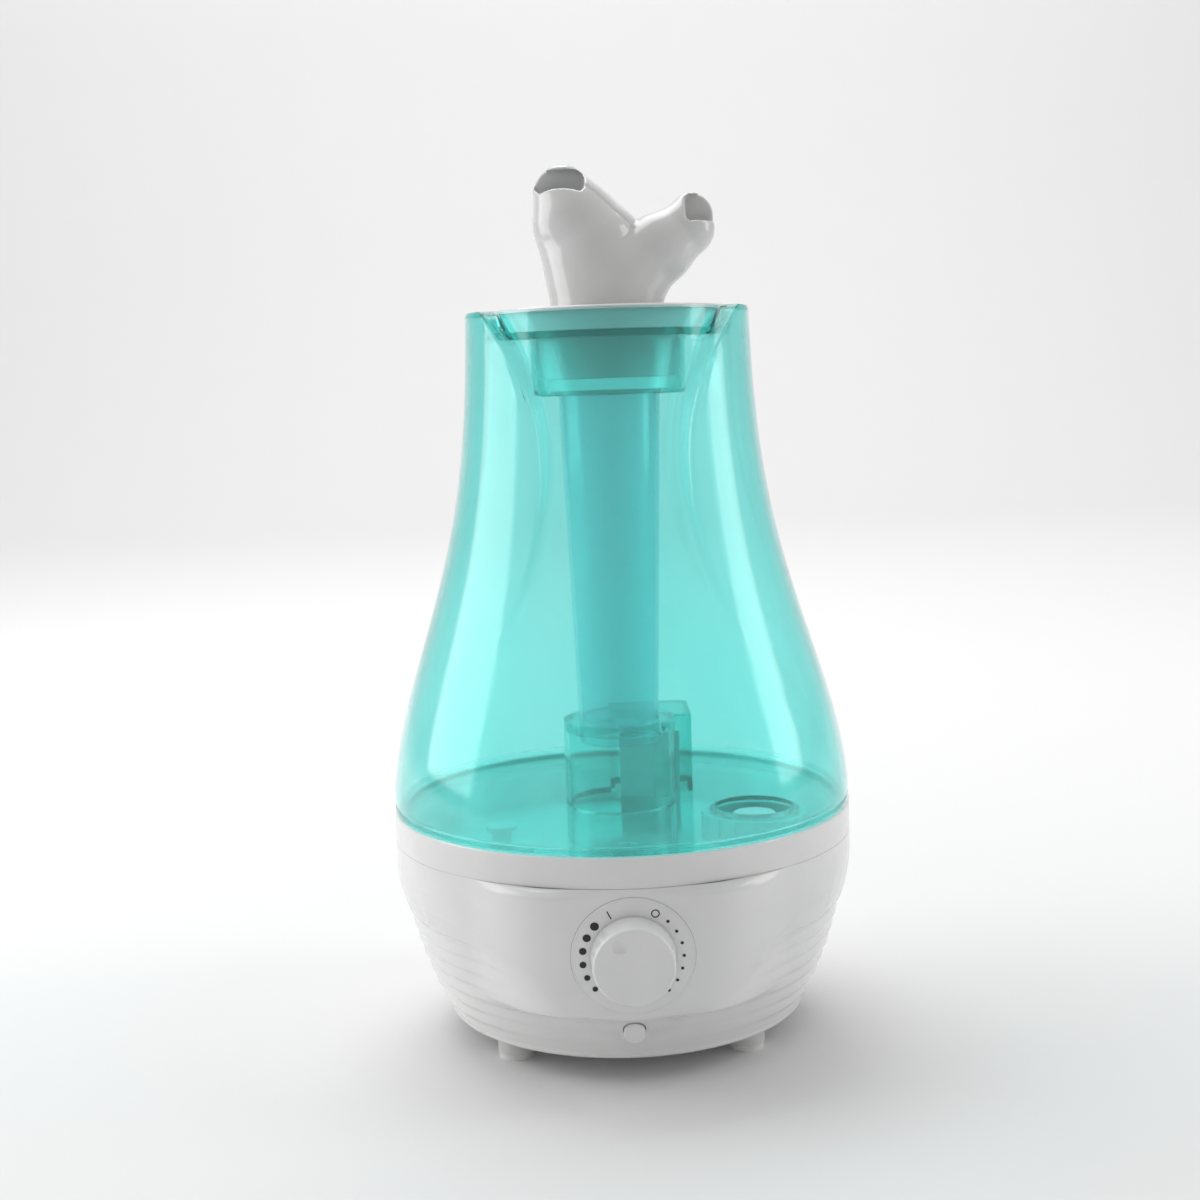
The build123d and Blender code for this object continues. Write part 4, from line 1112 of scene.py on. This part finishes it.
# ---------------------------------------------------------------- base
@dataclass
class Base:
    """The ribbed housing with its smooth front panel, and what shows round it."""

    shop: Workshop
    foot_radius: float = 0.0735
    foot: float = 0.010
    rib_top: float = 0.0555
    rib_count: int = 7
    rib_ledge: float = 0.0016
    body_radius: float = 0.0952
    seam: float = 0.0835
    wall: float = 0.0026
    panel_low: float = 0.0385
    panel_half_width: float = 0.080
    lean: float = math.radians(5.0)
    upright_from: float = 0.072
    dial_centre: tuple[float, float] = (-0.09371, 0.0573)
    dial_radius: float = 0.0233
    button: tuple[float, float] = (0.0, -0.033)  # from the dial's middle
    inlet: tuple[float, float] = (0.079, 0.030)  # how far back the power inlet's pocket starts, and its height
    seam_rounding: float = 0.0003
    foot_rounding: float = 0.0005
    foot_edge: float = 0.0004
    lining_below: float = 0.001  # the inner wall starts this far under the seam
    ledge: tuple[float, float] = (0.0129, 0.0152)  # under and over the cover's ledge
    ledge_radii: tuple[float, float] = (0.0681, 0.0711)
    shoulder: float = 0.0052  # the ribbed wall's top stays inside the body's radius
    bow: float = 0.45  # and its line bulges
    skirt: float = 0.020  # height over which it then swells out to the body
    swell: float = 0.0040
    collar: float = 0.0012
    plain_foot: float = 0.002
    bead: float = 0.0006
    rib_fade: float = 0.90  # how much of the ribs is lost towards the front
    panel_arc: float = 0.0935
    edge_climb: float = 0.0130
    edge_steepness: float = 6.0  # beyond the panel's half width
    edge_roll: float = 0.0115
    middle_roll: float = 0.011  # is added to it in the middle
    crest: float = 0.00016
    crest_half: float = 0.0013
    bunching: float = 0.42  # points lie closer together at the front, where the dial is
    around: int = 300
    rows: int = 112
    inner_rows: int = 22

    def stations(self) -> list[Station]:
        """The closed profile, up the outside and down inside to the cover's seat.

        Returns:
            The stations in order.
        """
        outside = [Station(self.foot, self.foot_rounding), Station(self.foot + self.foot_edge)]
        outside += [Station(r) for r in rows_between(self.foot, self.seam - self.seam_rounding, self.rows)[1:]]
        rim = self.body_radius - self.wall
        outside += [Station(self.seam, self.seam_rounding), Station(self.seam, 0.0, rim, plain=1.0)]
        under, over = self.ledge
        within = rows_between(self.seam - self.lining_below, over, self.inner_rows)
        inside = [Station(rise, self.wall, rim, plain=1.0) for rise in within]
        narrow, wide = self.ledge_radii
        places = ((over, self.wall, narrow), (under, self.wall, narrow), (under, 0.0, wide), (self.foot, 0.0, wide))
        return outside + inside + [Station(*place, plain=1.0) for place in places]

    def skin(self) -> bpy.types.Object:
        """The housing before its holes are cut.

        Returns:
            The object.
        """
        even = rows_between(0.0, math.tau, self.around)[:-1]
        turns = [{"angle": angle - self.bunching * math.sin(angle)} for angle in even]
        piece = ring_lattice("ribbed_housing", self.stations(), turns)
        form = FormTree("housing rule")
        foot_radius, body_radius, ribs, ledge, edge_low, half_width, roll = form.sizes_of(
            self, "foot_radius", "body_radius", "rib_count", "rib_ledge", "panel_low", "panel_half_width", "edge_roll"
        )
        rise, inset = form.attribute("rise"), form.attribute("inset")
        angle, busy = form.attribute("angle"), 1.0 - form.attribute("plain")

        climb = rise.share(self.foot, self.rib_top)
        curve = climb * (1.0 + self.bow) - climb * climb * self.bow
        curve = curve * (body_radius - self.shoulder - foot_radius) + foot_radius
        over_ribs = rise - self.rib_top
        skirt = 1.0 - over_ribs.share(0.0, self.skirt)
        collar = over_ribs.ease(-0.0004, 0.0008) * self.collar
        swell = over_ribs.share(0.0, 0.0001) * (1.0 - skirt * skirt) * self.swell
        envelope = curve + collar + swell

        # Each rib leans out towards its foot and ends in a soft ledge.
        pitch = (self.rib_top - self.foot - self.plain_foot) / ribs
        within = ((rise - self.foot - self.plain_foot) / pitch).at_least(0.0).fraction()
        wave = within.ease(-0.15, 0.64) * -1.0 + within.ease(0.62, 1.0) + 0.5
        front_share = angle.cosine()
        fade = 1.0 - front_share.ease(0.25, 0.93) * self.rib_fade
        over_foot = rise - self.foot
        ends = (1.0 - over_ribs.ease(-0.0012, 0.0)) * over_foot.ease(0.0015, 0.004)
        relief = wave * ledge * fade * ends * busy
        bead = (1.0 - over_foot.ease(0.0014, 0.0022)) * self.bead * busy

        # The front panel leans out over the ribs and rolls under at its swept lower edge.
        across = angle.sine() * self.panel_arc
        sweep = (across.absolute() / half_width).at_most(1.0)
        edge = (1.0 - (sweep * math.pi).cosine()) * self.edge_climb + edge_low
        edge = edge + (across.absolute() - half_width).at_least(0.0) * self.edge_steepness
        drop = (self.upright_from - rise).at_least(0.0)
        panel = body_radius - drop * math.tan(self.lean)
        ahead = front_share.ease(-0.05, 0.10)
        # Towards the middle the roll is longer, so that the edge fades away under the dial.
        soft = 1.0 - sweep.ease(0.0, 0.85)
        cover = rise.ease(edge - roll - soft * self.middle_roll, edge + soft * 0.003 + 0.0012) * ahead
        crest = (1.0 - ((rise - edge) / self.crest_half).absolute().at_most(1.0)) ** 2.0 * self.crest
        crest = crest * ahead * busy * (1.0 - soft)
        radius = blend_of(envelope + relief, panel.at_least(envelope), cover) + crest + bead
        radius = (radius - inset).at_most(form.attribute("cap"))

        # Round the dial the panel is flat.
        x = radius * angle.sine()
        y = radius * angle.cosine() * -1.0
        dial_y, dial_z = self.dial_centre
        up = rise - dial_z
        aside = 1.0 - x.absolute().ease(self.dial_radius - 0.0020, 2.7 * self.dial_radius)
        beyond = 1.0 - up.absolute().ease(self.dial_radius - 0.0005, self.dial_radius + 0.0057)
        flat = aside * beyond * front_share.ease(0.0, 0.2)
        plane = up * -math.tan(self.lean) + dial_y + inset
        y = blend_of(y, plane, flat)
        placed = form.moved(form.start.outputs["Geometry"], form.vector(x, y, rise))
        form.close(placed, self.shop.paints.get("white_gloss"))
        form.shape(piece)
        return piece

    def dial_frame(self) -> Matrix:
        """Place of the dial's face: x to the right, y up along the panel, z out of it."""
        normal = Vector((0.0, -math.cos(self.lean), -math.sin(self.lean)))
        right = Vector((1.0, 0.0, 0.0))
        up = normal.cross(right)
        place = Matrix((right, up, normal)).transposed().to_4x4()
        place.translation = Vector((0.0, *self.dial_centre))
        return place

    def housing(self) -> bpy.types.Object:
        """The housing with its dial seat, button hole and power inlet pocket.

        Returns:
            The object.
        """
        piece = self.skin()
        dial = self.dial_frame()
        out, up = self.inlet
        rear = Matrix(((-1, 0, 0, 0), (0, 0, 1, out), (0, 1, 0, up), (0, 0, 0, 1)))
        backing = block_bar("inlet backing", rear, half=(0.0112, 0.0072), low=-0.0048, high=0.0012)
        guide = round_bar("button guide", dial, radius=0.00635, low=-0.0150, high=-0.0092, at=self.button)
        carve(piece, [backing, guide], "UNION")
        cuts = [
            round_bar("dial seat", dial, radius=self.dial_radius + 0.0001, low=-0.0012, high=0.006),
            round_bar("shaft hole", dial, radius=0.0037, low=-0.012, high=0.003),
            round_bar("button hole", dial, radius=0.00445, low=-0.024, high=0.012, at=self.button),
            block_bar("inlet pocket", rear, half=(0.009, 0.006), low=0.0, high=0.012),
            round_bar("inlet hole", rear, radius=0.0041, low=-0.008, high=0.003),
        ]
        carve(piece, cuts)
        soften(piece, 34.0)
        return piece

    def build(self) -> None:
        """Make the housing and dress what shows with it."""
        self.shop.fit(self.housing(), "base", "white_gloss", "base_housing")
        self.shop.polish("water_basin", "base", "white_gloss")
        self.shop.polish("bottom_cover", "base", "white_plastic", bevel=0.0004)
        self.shop.polish("foot_pads", "base", "white_rubber", bevel=0.0005)
        self.shop.polish("dc_inlet", "base", "dark_plastic")


def round_bar(
    name: str, place: Matrix, radius: float, low: float, high: float, at: tuple[float, float] = (0.0, 0.0)
) -> bpy.types.Object:
    """A closed round bar in a frame of its own.

    Args:
        name: Object name.
        place: The frame; the bar runs along its z axis.
        radius: The bar's radius.
        low: Start along the axis.
        high: End along the axis.
        at: Centre across the axis.

    Returns:
        The object, with its place in its mesh.
    """
    sides = 72
    ring = [(math.cos(math.tau * k / sides) * radius, math.sin(math.tau * k / sides) * radius) for k in range(sides)]
    return prism(name, place, ring, low, high, at)


def block_bar(name: str, place: Matrix, half: tuple[float, float], low: float, high: float) -> bpy.types.Object:
    """A closed rectangular bar in a frame of its own.

    Args:
        name: Object name.
        place: The frame; the bar runs along its z axis.
        half: Half its width and half its height.
        low: Start along the axis.
        high: End along the axis.

    Returns:
        The object, with its place in its mesh.
    """
    signs = ((1, 1), (-1, 1), (-1, -1), (1, -1))
    return prism(name, place, [(half[0] * across, half[1] * up) for across, up in signs], low, high)


def prism(
    name: str,
    place: Matrix,
    outline: Sequence[tuple[float, float]],
    low: float,
    high: float,
    at: tuple[float, float] = (0.0, 0.0),
) -> bpy.types.Object:
    """A closed bar with any outline.

    Args:
        name: Object name.
        place: The frame; the bar runs along its z axis.
        outline: Corners across the axis.
        low: Start along the axis.
        high: End along the axis.
        at: Centre across the axis.

    Returns:
        The object, with its faces outwards.
    """
    count = len(outline)
    points = [place @ Vector((x + at[0], y + at[1], z)) for z in (low, high) for x, y in outline]
    faces = [tuple(reversed(range(count))), tuple(range(count, 2 * count))]
    faces += [(k, (k + 1) % count, count + (k + 1) % count, count + k) for k in range(count)]
    piece = mesh_piece(name, points, faces)
    turn_outwards(piece)
    return piece


# ---------------------------------------------------------------- controls
@dataclass(frozen=True)
class MarkRow:
    """A row of round marks on an arc about the knob, with angles in degrees from the top, clockwise."""

    name: str
    count: int
    start: float
    step: float
    first_radius: float
    last_radius: float


@dataclass
class Controls:
    """The dial's face with its printed marks, the knob and the push button."""

    shop: Workshop
    base: Base
    face: float = 0.0004
    mark_radius: float = 0.0189
    ink_height: float = 0.00012
    well_depth: float = 0.00006
    well_growth: tuple[float, float] = (1.22, 1.30)  # of the first and the last mark's radius
    symbol_degrees: float = 27.0
    symbol_radius: float = 0.0014
    stroke: float = 0.00044
    bar_half: float = 0.0017
    bite: float = 0.0001  # how far the ink reaches into the face
    rows: tuple[MarkRow, ...] = (
        MarkRow("high_marks", 6, -48.0, -16.4, 0.00165, 0.00105),
        MarkRow("low_marks", 7, 44.0, 15.4, 0.00062, 0.00062),
    )

    def marks(self, row: MarkRow, finish: str, lift: float) -> bpy.types.Object:
        """A row of marks.

        Args:
            row: The row.
            finish: Key of the finish.
            lift: Height of the marks' top over the dial's face.

        Returns:
            The object.
        """
        form = FormTree(f"{row.name} rule")
        number, first, last = form.sizes_of(row, "count", "first_radius", "last_radius")
        from_angle = form.size("Start Angle", math.radians(row.start))
        by_angle = form.size("Step Angle", math.radians(row.step))
        arc, thick = form.size("Arc Radius", self.mark_radius), form.size("Thickness", 2 * self.ink_height)
        line, index = form.row(number)
        angle = index * by_angle + from_angle
        spot = form.vector(angle.sine() * arc, angle.cosine() * arc, lift - self.ink_height)
        disc = form.node("GeometryNodeMeshCylinder", {"Vertices": 28, "Radius": 1.0, "Depth": thick})
        size = blend_of(first, last, index / (number - 1.0))
        dots = form.node(
            "GeometryNodeInstanceOnPoints",
            {"Points": form.moved(line, spot), "Instance": disc.outputs[0], "Scale": form.vector(size, size, 1.0)},
        )
        piece = form.sprout(row.name, dots.outputs[0], self.shop.paints.get(finish))
        piece.data.transform(self.base.dial_frame())
        soften(piece)
        return piece

    def ring(
        self, name: str, at: tuple[float, float], radius: float, width: float, low: float, high: float
    ) -> bpy.types.Object:
        """A flat ring with rounded edges on the dial's face.

        Args:
            name: Object name.
            at: Centre in the dial's plane.
            radius: Radius of its middle line.
            width: Its width.
            low: Its underside along the dial's axis.
            high: Its top along the dial's axis.

        Returns:
            The object.
        """
        sides, half = 96, width / 2
        flat, side = half * 0.6, high - half * 0.3
        section = [(-half, low), (half, low), (half, side), (flat, high), (-flat, high), (-half, side)]
        place = self.base.dial_frame()
        points, faces = [], []
        for k in range(sides):
            turn = math.tau * k / sides
            for offset, height in section:
                r = radius + offset
                points.append(place @ Vector((at[0] + r * math.cos(turn), at[1] + r * math.sin(turn), height)))
        n = len(section)
        for k in range(sides):
            after = (k + 1) % sides
            faces += [(k * n + i, after * n + i, after * n + (i + 1) % n, k * n + (i + 1) % n) for i in range(n)]
        piece = mesh_piece(name, points, faces)
        soften(piece, 40.0)
        return piece

    def symbols(self) -> bpy.types.Object:
        """The on bar and the off ring, in printed ink.

        Returns:
            The object.
        """
        place = self.base.dial_frame()
        top = self.face + self.ink_height
        turn = math.radians(self.symbol_degrees)
        ring_at = (math.sin(turn) * self.mark_radius, math.cos(turn) * self.mark_radius)
        foot = self.face - self.bite
        symbol = self.ring("power_symbols", ring_at, self.symbol_radius, self.stroke, foot, top)
        tilt = Matrix.Translation((-ring_at[0], ring_at[1], 0.0)) @ Matrix.Rotation(turn, 4, "Z")
        bar = block_bar("on bar", place @ tilt, (self.stroke / 2, self.bar_half), foot, top)
        form = bmesh.new()
        form.from_mesh(symbol.data)
        form.from_mesh(bar.data)
        form.to_mesh(symbol.data)
        form.free()
        bpy.data.objects.remove(bar)
        self.shop.paints.paint(symbol, "dial_ink")
        return symbol

    def build(self) -> None:
        """Make the marks and dress the controls."""
        shop = self.shop
        shop.polish("dial_plate", "base", "white_gloss", bevel=0.0003, slot="white_plastic")
        radius, top = self.base.dial_radius - 0.0004, self.face + 0.0001
        rim = self.ring("dial_rim", at=(0.0, 0.0), radius=radius, width=0.0007, low=0.0, high=top)
        shop.paints.paint(rim, "white_gloss")
        shop.fit(rim, "base", "white_gloss")
        top = self.face + self.ink_height
        for row in self.rows:
            first, last = row.first_radius * self.well_growth[0], row.last_radius * self.well_growth[1]
            well = replace(row, name=f"{row.name}_wells", first_radius=first, last_radius=last)
            shop.fit(self.marks(well, "white_gloss", top - self.well_depth), "base", "white_plastic")
            shop.fit(self.marks(row, "dial_ink", top), "base", "dark_plastic")
        shop.fit(self.symbols(), "base", "dark_plastic")
        shop.polish("control_knob", "knob", "white_gloss")
        shop.polish("push_button", "button", "white_gloss")


# ---------------------------------------------------------------- nozzle
@dataclass(frozen=True)
class Ball:
    """One ball of a horn, in millimetres from the middle of the nozzle's foot."""

    x: float
    y: float
    z: float
    radius: float


def swept(grid: Grid, low: Ball, high: Ball) -> np.ndarray:
    """Distance to the form that a ball sweeps from one place and size to another.

    Args:
        grid: The x, y and z of every sample.
        low: The first ball.
        high: The second ball.

    Returns:
        The distances in millimetres, below 0 inside.
    """
    start = np.array((low.x, low.y, low.z))
    along = np.array((high.x, high.y, high.z)) - start
    length = float(np.linalg.norm(along))
    along /= length
    slope = (low.radius - high.radius) / length
    grip = math.sqrt(1.0 - slope * slope)
    offset = [axis - origin for axis, origin in zip(grid, start)]
    run = sum(o * a for o, a in zip(offset, along))
    reach = np.sqrt(np.maximum(sum(o * o for o in offset) - run * run, 0.0))
    shifted = np.clip(run - reach * slope / grip, 0.0, length)
    return np.sqrt(reach**2 + (run - shifted) ** 2) - (low.radius - shifted * slope)


def joined(first: np.ndarray, second: np.ndarray, soft: float) -> np.ndarray:
    """Union of two distance fields with a soft valley between them.

    Args:
        first: One field.
        second: The other field.
        soft: Width of the valley's rounding.

    Returns:
        The joined field.
    """
    near = np.maximum(soft - np.abs(first - second), 0.0) / soft
    return np.minimum(first, second) - near * near * soft / 4.0


def without(solid: np.ndarray, hollow: np.ndarray, soft: float) -> np.ndarray:
    """Cut one distance field out of another, with rounded lips."""
    return -joined(-solid, hollow, soft)


@dataclass(frozen=True)
class Mouth:
    """A mouth cut from the front into a horn, in millimetres: a rounded window with a bowed lower lip.

    edge is the side towards the nozzle's middle, far the outer side, low and high the lip and the hood's rim, back
    how deep it goes, corner its rounding and bow how far the lip's middle rises.
    """

    edge: float
    far: float
    low: float
    high: float
    back: float
    corner: float
    bow: float
    bowl_out: float = 0.95  # the bowl's middle lies this share of the window's half width forward
    bowl_up: float = 1.0
    bowl_size: float = 1.12
    lining_under: float = 3.0
    lining_beside: float = 4.0

    def span(self) -> tuple[float, float]:
        """The window's middle and half its width."""
        return (self.edge + self.far) / 2, abs(self.edge - self.far) / 2

    def cutter(self, grid: Grid) -> np.ndarray:
        """Distance to the form that is cut away.

        Args:
            grid: The x, y and z of every sample.

        Returns:
            The distances in millimetres.
        """
        x, y, z = grid
        middle, half = self.span()
        centre, rise = (self.low + self.high) / 2, (self.high - self.low) / 2
        across = np.abs(x - middle) - half + self.corner
        up = np.abs(z - centre) - rise + self.corner
        window = np.hypot(np.maximum(across, 0.0), np.maximum(up, 0.0)) + np.minimum(np.maximum(across, up), 0.0)
        lip = self.low + self.bow * np.clip(1.0 - ((x - middle) / half) ** 2, 0.0, 1.0)
        return np.maximum(np.maximum(window - self.corner, lip - z), y - self.back)

    def hood_lining(self, grid: Grid) -> np.ndarray:
        """Distance to what stays hollow behind the mouth: a shallow bowl over the lip, and anything elsewhere."""
        x, y, z = grid
        middle, half = self.span()
        reach = (x - middle) ** 2 + (y + half * self.bowl_out) ** 2 + (z - self.low - self.bowl_up) ** 2
        bowl = np.sqrt(reach) - half * self.bowl_size
        beside = (x - self.edge) * math.copysign(1.0, self.edge) + self.lining_beside
        return np.minimum(bowl, np.minimum(z - self.low + self.lining_under, beside))


@dataclass
class Nozzle:
    """The nozzle that turns on the lid, with a stout left horn and a slim right one, each open at the front.

    Lengths are in millimetres from the middle of its foot.
    """

    shop: Workshop
    foot_radius: float = 23.0
    spigot_radius: float = 21.6
    spigot_depth: float = 14.0
    bore_radius: float = 19.6
    wall: float = 2.2
    step: float = 0.6
    box: tuple[Place, Place] = ((-33.0, -26.0, -17.0), (50.0, 26.0, 62.0))
    foot_height: float = 22.0
    spigot_top: float = 1.0
    bore_top: float = 12.0
    narrow_from: float = 6.0
    narrowing: float = 0.02
    left: tuple[Ball, ...] = (
        Ball(-4.6, 0.0, 23.0, 21.4), Ball(-11.6, 0.0, 34.2, 17.2), Ball(-16.6, 0.0, 45.9, 12.0),
    )
    right: tuple[Ball, ...] = (
        Ball(7.0, -6.0, 12.5, 15.8), Ball(21.6, -3.0, 23.0, 13.8), Ball(33.4, -0.5, 31.2, 11.0),
    )
    right_tip: Ball = Ball(35.6, 0.0, 36.4, 9.2)
    mouths: tuple[Mouth, Mouth] = (
        Mouth(-7.7, -27.4, 45.4, 55.5, 1.0, 4.2, 2.2), Mouth(32.6, 46.0, 33.2, 44.5, 1.0, 2.6, 0.5),
    )
    parting_step: float = 0.6
    parting_facing: Place = (-0.42, -0.907, -0.323)
    parting_at: tuple[float, float] = (29.6, 1.6)  # its height, and how far it is moved forward
    parting_from: float = 20.0
    crotch: float = 1.8  # rounding between the horns
    haunch: float = 7.0  # rounding between the horns and the foot
    lip: float = 1.0  # rounding of the mouths' lips

    def field(self) -> tuple[np.ndarray, Vector]:
        """Sample the nozzle's form.

        Returns:
            The distances and the first sample's place, in millimetres.
        """
        low, high = self.box
        grid = tuple(np.meshgrid(*(np.arange(*ends, self.step) for ends in zip(low, high)), indexing="ij"))
        x, y, z = grid
        rim = np.hypot(x, y)

        left = joined(swept(grid, *self.left[:2]), swept(grid, *self.left[1:]), soft=3.0)
        slim = joined(swept(grid, *self.right[:2]), swept(grid, *self.right[1:]), soft=3.0)
        slim = joined(slim, swept(grid, self.right[2], self.right_tip), soft=2.0)
        narrowing = self.narrowing * np.maximum(z - self.narrow_from, 0.0) ** 2
        foot = np.maximum(rim - self.foot_radius + narrowing, np.maximum(-z, z - self.foot_height))

        # The left horn's front is a skin of its own, parted from the hood behind it along a slanting line.
        (face_x, face_y, face_z), (middle_z, forward) = self.parting_facing, self.parting_at
        parting = (x - self.left[2].x) * face_x + y * face_y + (z - middle_z) * face_z + forward
        skin = np.clip(parting / 0.7 + 0.5, 0.0, 1.0) * np.clip((z - self.parting_from) / 7.0, 0.0, 1.0)
        front = left + self.parting_step * skin
        outer = joined(joined(front, slim, self.crotch), foot, self.haunch)
        cavity = joined(joined(left, slim, soft=2.0), foot, soft=3.0) + self.wall
        cavity = np.maximum(cavity, self.wall - z)
        for mouth in self.mouths:
            cavity = np.maximum(cavity, mouth.hood_lining(grid))
        solid = without(outer, cavity, soft=0.9)
        spigot = np.maximum(rim - self.spigot_radius, np.maximum(-self.spigot_depth - z, z - self.spigot_top))
        solid = np.minimum(solid, np.maximum(spigot, self.bore_radius - rim))
        solid = np.maximum(solid, -np.maximum(rim - self.bore_radius, z - self.bore_top))
        for mouth in self.mouths:
            solid = without(solid, mouth.cutter(grid), self.lip)
        return solid, Vector(low)

    def build(self) -> None:
        """Make the nozzle."""
        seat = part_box("mist_nozzle")[0].z + self.spigot_depth * MM
        samples, low = self.field()
        grid = openvdb.FloatGrid(5.0)
        grid.copyFromArray(samples.astype(np.float32))
        points, triangles, quads = grid.convertToPolygons(0.0, 0.0)
        place = (np.asarray(points, float) * self.step + np.array(low)) * MM + np.array((0.0, 0.0, seat))
        faces = [*quads.tolist(), *triangles.tolist()]
        piece = mesh_piece("twin_mouth_nozzle", place, faces)
        turn_outwards(piece)
        smoothing = piece.modifiers.new("flow", "SMOOTH")
        smoothing.factor = 0.5
        smoothing.iterations = 3
        settle(piece)
        # The nozzle gets the darker copy of the white gloss, whose lower colour is painted shade.
        self.shop.paints.paint(piece, "nozzle_shaded_gloss")
        soften(piece, 50.0)
        self.shop.fit(piece, "nozzle", "white_gloss", "mist_nozzle")


# ---------------------------------------------------------------- works inside the base
@dataclass
class Works:
    """Small detail on the parts inside the base: the coil's windings."""

    shop: Workshop
    turns: int = 34
    path_share: float = 0.725  # of the core's radius, where the loops' middles run
    loop_radius: float = 0.0022
    loop_height: float = 0.0024
    wire_radius: float = 0.00026

    def windings(self) -> bpy.types.Object:
        """Turns of wire round the coil's core.

        Returns:
            The object.
        """
        low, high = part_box("driver_coil")
        centre = (low + high) / 2
        core_radius = (high.x - low.x) / 2
        half_height = (high.z - low.z) / 2
        form = FormTree("coil winding rule")
        count, loop, wire = form.sizes_of(self, "turns", "loop_radius", "wire_radius")
        path = form.size("Path Radius", core_radius * self.path_share)
        line, index = form.row(count)
        angle = index / count * math.tau
        spot = form.vector(angle.cosine() * path, angle.sine() * path, 0.0)
        ring = form.node("GeometryNodeCurvePrimitiveCircle", {"Resolution": 14, "Radius": loop})
        section = form.node("GeometryNodeCurvePrimitiveCircle", {"Resolution": 6, "Radius": wire})
        torus = form.node("GeometryNodeCurveToMesh", {"Curve": ring.outputs[0], "Profile Curve": section.outputs[0]})
        loops = form.node(
            "GeometryNodeInstanceOnPoints",
            {
                "Points": form.moved(line, spot),
                "Instance": torus.outputs[0],
                "Rotation": form.vector(math.pi / 2, 0.0, angle),
                "Scale": form.vector(1.0, half_height / self.loop_height, 1.0),
            },
        )
        piece = form.sprout("coil_windings", loops.outputs[0], self.shop.paints.get("copper"))
        piece.data.transform(Matrix.Translation(centre))
        soften(piece, 60.0)
        return piece

    def build(self) -> None:
        """Make the detail."""
        self.shop.fit(self.windings(), "base", "copper")


# ---------------------------------------------------------------- studio
@dataclass(frozen=True)
class Lamp:
    """One rectangular soft light: where it stands and points, its width and height, and its power in watts."""

    name: str
    place: Place
    target: Place
    size: tuple[float, float]
    power: float

    def hang(self) -> None:
        """Put the light in the scene."""
        lamp = bpy.data.lights.new(self.name, "AREA")
        lamp.shape = "RECTANGLE"
        lamp.size, lamp.size_y = self.size
        lamp.energy = self.power
        holder = bpy.data.objects.new(self.name, lamp)
        bpy.context.scene.collection.objects.link(holder)
        holder.location = self.place
        holder.rotation_euler = (Vector(self.target) - Vector(self.place)).to_track_quat("-Z", "Y").to_euler()


@dataclass
class Studio:
    """A pale sweep of paper, soft lights and the camera."""

    floor_colour: Colour = (0.765, 0.765, 0.765)
    camera_place: Place = (-0.0193, -0.7038, 0.2669)
    camera_turns: Place = (-1.05, 82.9, -1.83)
    lens: float = 51.1
    air: float = 0.50
    lamps: tuple[Lamp, ...] = (
        Lamp("top softbox", (-0.25, 0.70, 1.7), (0.0, 0.15, 0.1), (1.4, 1.1), 14.0),
        Lamp("left strip", (-1.35, 0.15, 0.70), (0.0, 0.0, 0.17), (1.0, 1.3), 10.5),
        Lamp("right strip", (1.35, 0.00, 0.70), (0.0, 0.0, 0.17), (0.5, 1.3), 5.5),
        Lamp("back wash", (0.0, 1.3, 3.1), (0.0, 3.8, 1.7), (5.0, 1.2), 92.0),
    )

    def paper(self) -> None:
        """The floor, which curves up into a backdrop."""
        half, front, depth, bend, height = 6.0, -4.0, 2.6, 1.2, 4.5
        line = [(front, 0.0), (depth, 0.0)]
        turns = [math.radians(degrees) for degrees in range(6, 91, 6)]
        line += [(depth + bend * math.sin(turn), bend - bend * math.cos(turn)) for turn in turns]
        line.append((depth + bend, height))
        points = [(x, y, z) for y, z in line for x in (-half, half)]
        faces = [(2 * k, 2 * k + 1, 2 * k + 3, 2 * k + 2) for k in range(len(line) - 1)]
        paper = mesh_piece("studio_paper", points, faces)
        soften(paper, 60.0)
        made = FinishTree("studio paper")
        grain = made.noise(9.0, 3.0)
        made.shade(self.floor_colour, darker(self.floor_colour, 0.01), grain)
        made.set(Roughness=0.85, Specular_IOR_Level=0.2)
        paper.data.materials.append(made.material)

    def camera(self) -> None:
        """The camera."""
        body = bpy.data.cameras.new("camera")
        body.lens = self.lens
        body.sensor_width = 36.0
        body.clip_start, body.clip_end = 0.01, 60.0
        holder = bpy.data.objects.new("camera", body)
        bpy.context.scene.collection.objects.link(holder)
        swing, tilt, roll = (math.radians(turn) for turn in self.camera_turns)
        turned = Matrix.Rotation(swing, 4, "Z") @ Matrix.Rotation(tilt, 4, "X") @ Matrix.Rotation(roll, 4, "Z")
        holder.matrix_world = Matrix.Translation(self.camera_place) @ turned
        bpy.context.scene.camera = holder

    def build(self) -> None:
        """Set the whole studio up."""
        self.paper()
        world = bpy.data.worlds.new("studio air")
        world.use_nodes = True
        air = world.node_tree.nodes["Background"]
        air.inputs["Color"].default_value = (1.0, 1.0, 1.0, 1.0)
        air.inputs["Strength"].default_value = self.air
        scene = bpy.context.scene
        scene.world = world
        scene.view_settings.view_transform = "Standard"
        for lamp in self.lamps:
            lamp.hang()
        self.camera()


def main() -> None:
    """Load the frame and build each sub-assembly round it."""
    logging.basicConfig(level=logging.INFO, format="%(message)s")
    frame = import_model()
    shop = Workshop(frame)
    shop.dress_nodes()
    Studio().build()
    base = Base(shop)
    base.build()
    Controls(shop, base).build()
    Tank(shop).build()
    Nozzle(shop).build()
    Works(shop).build()


if __name__ == "__main__":
    main()
